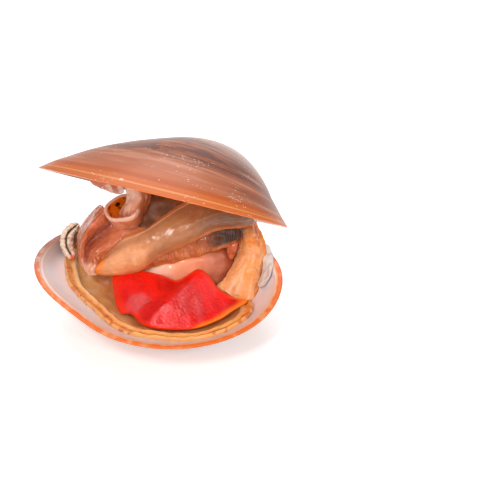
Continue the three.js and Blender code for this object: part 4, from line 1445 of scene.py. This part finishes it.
TIP = SoftPiece("siphon_tip_lips", "siphon_tip", "siphon_tip", (
    Station((-62.6, 9.6, 3.5), 1.7, 1.8), Station((-66, 5.8, 6), 2.2, 2.1),
     Station((-66, 1.4, 9.4), 2.2, 2.1),
    Station((-63.4, -3, 12.4), 1.7, 1.8)), tip_relief, 150, 110)

STRAND = Sheet("torn_muscle_strand", "muscle_strand", "strand", (
    ((-45.6, 11.4, 18.6), (-43.6, 11.4, 20.6), (-41.2, 11.2, 21), (-39.2, 11.4, 19)),
    ((-46.4, 13, 19.4), (-43.6, 13, 22.2), (-40, 12.8, 23), (-37.2, 13.2, 20)),
    ((-45.2, 15, 20.8), (-42.6, 15.4, 24), (-39, 15.4, 24.8), (-35.8, 15.6, 21.4)),
    ((-43.4, 17.8, 23), (-41, 18.2, 26), (-38, 18.4, 26.2), (-35, 18.6, 22.6)),
    ((-43.8, 21.4, 24.6), (-41.6, 21.8, 27), (-38.6, 22, 27), (-35, 22, 24)),
    ((-46, 26.6, 25), (-43.4, 27.4, 27.4), (-39, 28, 27.4), (-34.6, 28, 25)),
    ((-47, 36, 25), (-44, 36.6, 26.6), (-39, 37, 26.6), (-34.6, 37, 25))),
    strand_relief, 150, 110, 0.06, thick=2.0)

FLAP = Sheet("torn_mantle_flap", "torn_flap", "flap", (
    ((-58.6, 29, 10), (-58, 26, 11.4), (-57.4, 23.6, 12)),
    ((-54.4, 27, 12), (-54, 24.2, 13.4), (-53.4, 21.9, 13.8)),
    ((-50.8, 25.4, 14), (-50.2, 22.8, 15), (-49.6, 20.4, 15.2)),
    ((-47.6, 24, 15.6), (-47, 21.6, 16.6), (-46.6, 19.7, 16.6)),
    ((-45.4, 22.6, 17), (-44.8, 21.2, 17.6), (-44.6, 20.3, 17.4))), flap_relief, 110, 80, 0.08, thick=0.8)

FILM = Sheet("mantle_end_film", "mantle_film", "film", (
    ((3.6, 2.5, 9.5), (5, 2.5, 10), (6.5, 2.2, 10.4)),
     ((4.3, 0, 11.8), (6.1, -0.4, 12.6), (7.9, -0.7, 12.8)),
    ((4.5, -2.5, 13.8), (6.6, -3, 15), (8.4, -3.6, 15.6)),
     ((4.6, -5.7, 14.8), (6.7, -6, 17.6), (8, -6.4, 18.4)),
    ((3.9, -9.3, 15.4), (5.7, -9.6, 18), (6.9, -9.7, 20)),
     ((2.1, -12.8, 16.6), (3.5, -13.1, 19.4), (4.6, -13.1, 21))),
    film_relief, 90, 70, 0.08, thick=0.9)

INNER = Sheet("inner_mantle_folds", "inner_mantle", "inner_mantle", (
    ((-46, 3, 11), (-45, 9, 12.6), (-44, 16, 12.6), (-42, 22, 11)),
    ((-40, 3, 15), (-39, 9, 17), (-38.6, 16, 18), (-38, 24, 17)),
    ((-33, 4, 17), (-32.4, 10, 19.6), (-32.4, 17, 19.6), (-32, 25, 18)),
    ((-25, 7, 17), (-24.6, 13, 19), (-24.6, 19, 19), (-25, 27, 17)),
    ((-16, 10, 15), (-16, 16, 16), (-16.6, 22, 15.6), (-17, 29, 14)),
    ((-6, 12, 11), (-6, 17, 12), (-6.6, 23, 12), (-7, 30, 11))), inner_relief, 150, 130, 0.06, thick=5)

ADDUCTOR = Sheet("front_adductor", "anterior_adductor", "adductor", (
    ((-12.6, -13.6, 17), (-8, -15.8, 18), (-3.6, -17.4, 18), (0.4, -18.2, 17.4), (3, -17.6, 15.4)),
    ((-9.6, -10.6, 16.4), (-5.8, -11.2, 18), (-2.4, -12, 18), (1, -12.8, 17.2), (3.8, -12.8, 15)),
    ((-6.8, -6.6, 14.6), (-4, -6.8, 17), (-1.2, -7.2, 17.8), (1.8, -8, 16.8), (4.6, -8.6, 14.4)),
    ((-5.4, -2.6, 13), (-2.8, -2.6, 15.8), (-0.2, -2.8, 16.8), (2.8, -3.6, 16), (6, -4.2, 13.4)),
    ((-4.6, 1.4, 12), (-2, 1.4, 15), (0.4, 1.2, 16), (3.2, 0.8, 15), (6, 0.2, 12.4)),
    ((-4, 5.6, 11), (-1.8, 5.8, 13.8), (0.2, 5.8, 14.8), (2.6, 5.2, 14), (5, 4.4, 11)),
    ((-3.2, 9.2, 10), (-1.8, 9.2, 12.6), (-0.4, 9.2, 13.2), (1, 9, 12.6), (2.4, 8.6, 10)),
    ((-3.4, 13.4, 9.6), (-2, 13.6, 12), (-0.6, 13.6, 12.6), (1, 13.4, 12), (2.6, 13, 10)),
    ((-4.4, 18, 9), (-2.4, 18.4, 11), (-0.6, 18.4, 11.6), (1.4, 18, 11), (3.4, 17.6, 9))),
    muscle_relief, 210, 170, 0.03, thick=2.6)

PALP = SoftPiece("labial_palps", "labial_palp", "palp", (
    Station((-5.2, 3.4, 15.5), 1, 0.7), Station((-6.2, 0.4, 14.8), 1.8, 0.9),
     Station((-6.8, -3.4, 13.6), 1.1, 0.7)),
    soft_relief, 60, 60)


MANTLE_FINISH = WetFlesh(
    "mantle", srgb(255, 178, 108),
    (Patch(srgb(252, 204, 152), 130.0, 0.46, 0.64, 0.6), Patch(srgb(226, 134, 80), 90.0, 0.54, 0.7, 0.6)),
    (Tint("edge", srgb(240, 130, 60), 9.0, 17.0, 0.7, 3.0),
     Tint("edge", srgb(250, 170, 88), 4.2, 3.0, 0.85, 0.8),
     Tint("rear", srgb(204, 132, 84), 0.35, 0.9, 0.45, 0.5),
     Tint("edge", srgb(240, 178, 120), 1.0, 0.2, 0.6, 0.6),
     Tint("edge", srgb(255, 232, 200), 0.5, 0.15, 0.95, 0.1, 4.7)),
    roughness=0.2, speck=srgb(136, 76, 40), specks=1100.0, speck_size=0.38, speck_mark="rear",
    blotch=srgb(206, 112, 60), blotch_reach=3.4)

FOOT_FINISH = WetFlesh(
    "foot", srgb(232, 12, 4), (Patch(srgb(190, 4, 4), 90.0, 0.46, 0.64, 0.85),
     Patch(srgb(240, 34, 22), 90.0, 0.56, 0.7, 0.4)),
    (Tint("share", srgb(240, 52, 10), 0.8, 0.99, 0.7, 0.08),
     Tint("front", srgb(255, 128, 16), 0.35, 0.9, 0.95, 0.1)),
    roughness=0.09, coat=0.1, scatter=0.05, glow=(1.0, 0.12, 0.04), grain=1100.0, grain_depth=0.00035)

FOLD_FINISH = WetFlesh(
    "mantle_fold", srgb(232, 158, 108),
    (Patch(srgb(206, 128, 80), 110.0, 0.5, 0.68, 0.6), Patch(srgb(250, 196, 150), 160.0, 0.54, 0.7, 0.4)),
    (Tint("along", srgb(164, 108, 70), 0.28, 0.52, 0.9, 0.25),
     Tint("along", srgb(118, 76, 50), 0.58, 0.85, 0.85, 0.15),
     Tint("side", srgb(158, 112, 76), -0.1, 0.6, 0.55, 0.7),
     Tint("along", srgb(246, 130, 14), 0.1, 0.02, 0.95, 0.05),
     Tint("side", srgb(214, 110, 34), 0.84, 0.97, 0.85, 0.12),
     Tint("side", srgb(250, 206, 160), 0.07, 0.02, 0.5, 0.05, 0.8),
     Tint("side", srgb(208, 108, 56), -0.8, -0.97, 0.8, 0.2)),
    streaks=(Streak(srgb(196, 140, 100), 7.0, 1.2, 0.5, 0.66, 0.4),),
    grain=620.0, grain_depth=0.0004)

GILL_FINISH = WetFlesh(
    "gill", srgb(182, 92, 46), (Patch(srgb(214, 128, 74), 200.0, 0.5, 0.68, 0.7),),
    # Painted shade: the gill's far end, under the fold's lower edge, is painted near black.
    (Tint("along", srgb(52, 32, 20), 0.5, 0.8, 0.95, 0.15),
     Tint("side", srgb(222, 118, 56), -0.55, -0.95, 0.75, 0.3),
     Tint("side", srgb(196, 112, 58), 0.5, 0.9, 0.7, 0.3)),
    streaks=(Streak(srgb(112, 58, 32), 0.7, 44.0, 0.5, 0.64, 0.35),), grain=900.0, grain_depth=0.0002)

VISCERA_FINISH = WetFlesh(
    "viscera", srgb(240, 150, 112), (Patch(srgb(250, 178, 138), 80.0, 0.46, 0.68, 0.7),),
    (Tint("along", srgb(156, 70, 44), 0.44, 0.7, 0.9, 0.1),
     # Painted highlight: a pale patch near the belly's left end stands for its wet reflection.
     Tint("along", srgb(255, 226, 206), 0.2, 0.05, 0.6, 0.1, 0.22)),
    roughness=0.16, coat=0.4, grain=420.0, grain_depth=0.0002)

SIPHON_FINISH = WetFlesh(
    "siphon", srgb(206, 114, 76),
    (Patch(srgb(228, 146, 116), 130.0, 0.5, 0.68, 0.7), Patch(srgb(176, 88, 46), 100.0, 0.5, 0.66, 0.7)),
    (Tint("side", srgb(190, 104, 62), 0.2, 0.7, 0.8, 0.3),
     # Darker red-brown band down the middle of the siphon: the valley's colour together with its painted
     # shade.
     Tint("side", srgb(140, 66, 50), 0.3, 0.0, 0.85, 0.15, -0.02),
     Tint("along", srgb(236, 176, 146), 0.22, 0.1, 0.8, 0.12),
     Tint("side", srgb(214, 132, 74), -0.84, -0.97, 0.8, 0.1)),
    grain=620.0, grain_depth=0.0005)

MOUTH_FINISH = WetFlesh(
    "siphon_mouth", srgb(196, 112, 74), (Patch(srgb(220, 146, 116), 200.0, 0.48, 0.64, 0.6),),
    (Tint("rim", srgb(218, 174, 154), 0.4, 0.85, 0.8, 0.3),
     Tint("bore", srgb(226, 112, 20), 0.15, 0.5, 0.98, 0.15)),
    grain=800.0, grain_depth=0.0003, speck=srgb(34, 16, 8), specks=330.0, speck_size=0.42, speck_mark="bore")

TIP_FINISH = WetFlesh(
    "siphon_tip", srgb(236, 210, 186), (Patch(srgb(188, 146, 118), 460.0, 0.5, 0.62, 0.8),),
    # Painted shade: a near-black line along the slit between the lips.
    (Tint("face", srgb(62, 46, 38), 0.95, 0.99, 0.9, 0.02),
     Tint("along", srgb(226, 84, 24), 0.93, 0.99, 0.9, 0.02)),
    roughness=0.4, coat=0.1, grain=1500.0)

STRAND_FINISH = WetFlesh(
    "muscle_strand", srgb(206, 138, 104),
    (Patch(srgb(190, 112, 76), 150.0, 0.5, 0.64, 0.7),),
    (Tint("along", srgb(216, 172, 148), 0.34, 0.6, 0.7, 0.2),
     Tint("side", srgb(160, 78, 30), 0.1, 0.6, 0.9, 0.3)),
    streaks=(Streak(srgb(240, 216, 200), 5.0, 1.5, 0.54, 0.68, 0.5),), scatter=0.35)

FLAP_FINISH = WetFlesh("torn_flap", srgb(206, 132, 108), (Patch(srgb(240, 214, 198), 300.0, 0.5, 0.6, 0.8),),
                       (Tint("along", srgb(242, 224, 210), 0.7, 0.9, 0.8, 0.2),))

FILM_FINISH = WetFlesh("mantle_film", srgb(222, 214, 208),
                       (Patch(srgb(196, 180, 170), 300.0, 0.5, 0.62, 0.6),),
                       scatter=0.4)

# Dark brown inner mantle: partly the tissue's own colour, partly painted shade of the recess between the fold
# and the upper valve.
INNER_FINISH = WetFlesh(
    "inner_mantle", srgb(126, 80, 54),
    (Patch(srgb(176, 100, 56), 110.0, 0.5, 0.64, 0.8), Patch(srgb(84, 54, 40), 130.0, 0.5, 0.66, 0.8)),
    roughness=0.36, coat=0.1, grain=420.0, grain_depth=0.0004)

ADDUCTOR_FINISH = WetFlesh(
    "adductor", srgb(244, 168, 108),
    (Patch(srgb(246, 150, 70), 90.0, 0.48, 0.64, 0.75), Patch(srgb(206, 118, 62), 110.0, 0.56, 0.7, 0.6)),
    (Tint("along", srgb(166, 92, 54), 0.5, 0.85, 0.85, 0.15),
     Tint("side", srgb(240, 134, 44), 0.18, 0.05, 0.8, 0.1, 0.84)),
    streaks=(Streak(srgb(252, 218, 186), 5.0, 2.0, 0.5, 0.72, 0.6),
     Streak(srgb(222, 132, 72), 7.0, 2.6, 0.54, 0.74, 0.5)),
    roughness=0.11, coat=0.3, scatter=0.4, grain=560.0, grain_depth=0.0004)

PALP_FINISH = WetFlesh("labial_palp", srgb(196, 98, 58), (Patch(srgb(150, 70, 40), 300.0, 0.5, 0.62, 0.8),))

LIGAMENT_FINISH = WetFlesh(
    "ligament", srgb(58, 42, 32), (Patch(srgb(96, 70, 44), 260.0, 0.5, 0.64, 0.7),),
    roughness=0.5, coat=0.25, scatter=0.0)


# ==== Studio ====


@dataclass(frozen=True)
class Softbox:
    """A square light: where it stands, how wide it is, its watts, and whether it shows in wet faces."""

    name: str
    place: Triple
    wide: float
    power: float
    glossy: bool = True

    def make(self, target: Vector) -> None:
        """Puts the light up, aimed at the target."""
        lamp = bpy.data.lights.new(self.name, "AREA")
        lamp.size = self.wide
        lamp.energy = self.power
        made = bpy.data.objects.new(self.name, lamp)
        made.location = self.place
        made.visible_glossy = self.glossy
        made.rotation_euler = (target - Vector(self.place)).to_track_quat("-Z", "Y").to_euler()
        bpy.context.scene.collection.objects.link(made)


@dataclass
class Studio:
    """The pale floor, the lights and the camera.

    Attributes:
        target: what the camera looks at.
        elevation: of the camera, in degrees.
        distance: of the camera.
        lens, sensor: in millimetres.
        lights: the softboxes.
    """

    target: Triple = (0.0221, 0.0150, 0.0179)
    elevation: float = 32.0
    distance: float = 0.55
    lens: float = 107.85
    sensor: float = 36.0
    lights: tuple[Softbox, ...] = (
        Softbox("front", (-0.16, -0.62, 0.34), 0.36, 1.5, False),
        Softbox("spark", (-0.12, -0.42, 0.46), 0.09, 1.2),
        Softbox("glint", (0.2, -0.5, 0.4), 0.07, 0.6),
        Softbox("top", (-0.05, 0.3, 0.5), 0.5, 1.8),
        Softbox("side", (0.55, -0.22, 0.3), 0.4, 0.6))

    def floor(self) -> None:
        """A wide pale floor."""
        mesh = bpy.data.meshes.new("floor")
        half = 4.0
        mesh.from_pydata([(-half, -half, 0), (half, -half, 0), (half, half, 0), (-half, half, 0)], [],
                         [(0, 1, 2, 3)])
        floor = bpy.data.objects.new("floor", mesh)
        bpy.context.scene.collection.objects.link(floor)
        graph = Graph("floor")
        graph.feed(graph.shader, {"Base Color": (0.93, 0.93, 0.93), "Roughness": 0.6,
                                  "Emission Color": (1.0, 1.0, 1.0), "Emission Strength": 0.35})
        mesh.materials.append(graph.material)

    def make(self) -> None:
        """Builds the studio."""
        scene = bpy.context.scene
        self.floor()
        world = bpy.data.worlds.new("studio")
        world.use_nodes = True
        background = world.node_tree.nodes["Background"]
        background.inputs["Color"].default_value = (1.0, 1.0, 1.0, 1.0)
        background.inputs["Strength"].default_value = 0.3
        scene.world = world
        target = Vector(self.target)
        for light in self.lights:
            light.make(target)
        lens = bpy.data.cameras.new("camera")
        lens.lens = self.lens
        lens.sensor_width = self.sensor
        camera = bpy.data.objects.new("camera", lens)
        lean = math.radians(self.elevation)
        camera.location = target + Vector((0, -math.cos(lean), math.sin(lean))) * self.distance
        camera.rotation_euler = (math.radians(90) - lean, 0, 0)
        scene.collection.objects.link(camera)
        scene.camera = camera
        scene.view_settings.view_transform = "Standard"
        scene.view_settings.look = "None"


def main() -> None:
    """Builds the studio, the shell and the soft body in order."""
    logging.basicConfig(level=logging.INFO, format="%(message)s")
    Studio().make()
    shell, mantle = ShellFinish().make(), MANTLE_FINISH.make()
    Valve("lower_shell_valve", "lower_valve", "shell", Frames.LOWER).make(shell)
    Valve("upper_shell_valve", "upper_valve", "shell", Frames.UPPER).make(shell)
    MantleLining("mantle_lining_lower", "mantle_lower", "mantle", Frames.LOWER).make(mantle)
    MantleLining("mantle_lining_upper", "mantle_upper", "mantle", Frames.UPPER).make(mantle)
    for piece, finish in (
            (Ligament("hinge_ligament", "ligament", "ligament"), LIGAMENT_FINISH),
            (Foot("foot_cushion", "foot", "foot"), FOOT_FINISH),
            (SiphonMouth("siphon_curled_mouth", "siphon_mouth", "siphon"), MOUTH_FINISH),
            (FOLD, FOLD_FINISH), (GILL, GILL_FINISH), (VISCERA, VISCERA_FINISH), (SIPHON, SIPHON_FINISH),
            (TIP, TIP_FINISH), (STRAND, STRAND_FINISH), (FLAP, FLAP_FINISH), (FILM, FILM_FINISH),
            (INNER, INNER_FINISH), (ADDUCTOR, ADDUCTOR_FINISH), (PALP, PALP_FINISH)):
        piece.make(finish.make())


if __name__ == "__main__":
    main()
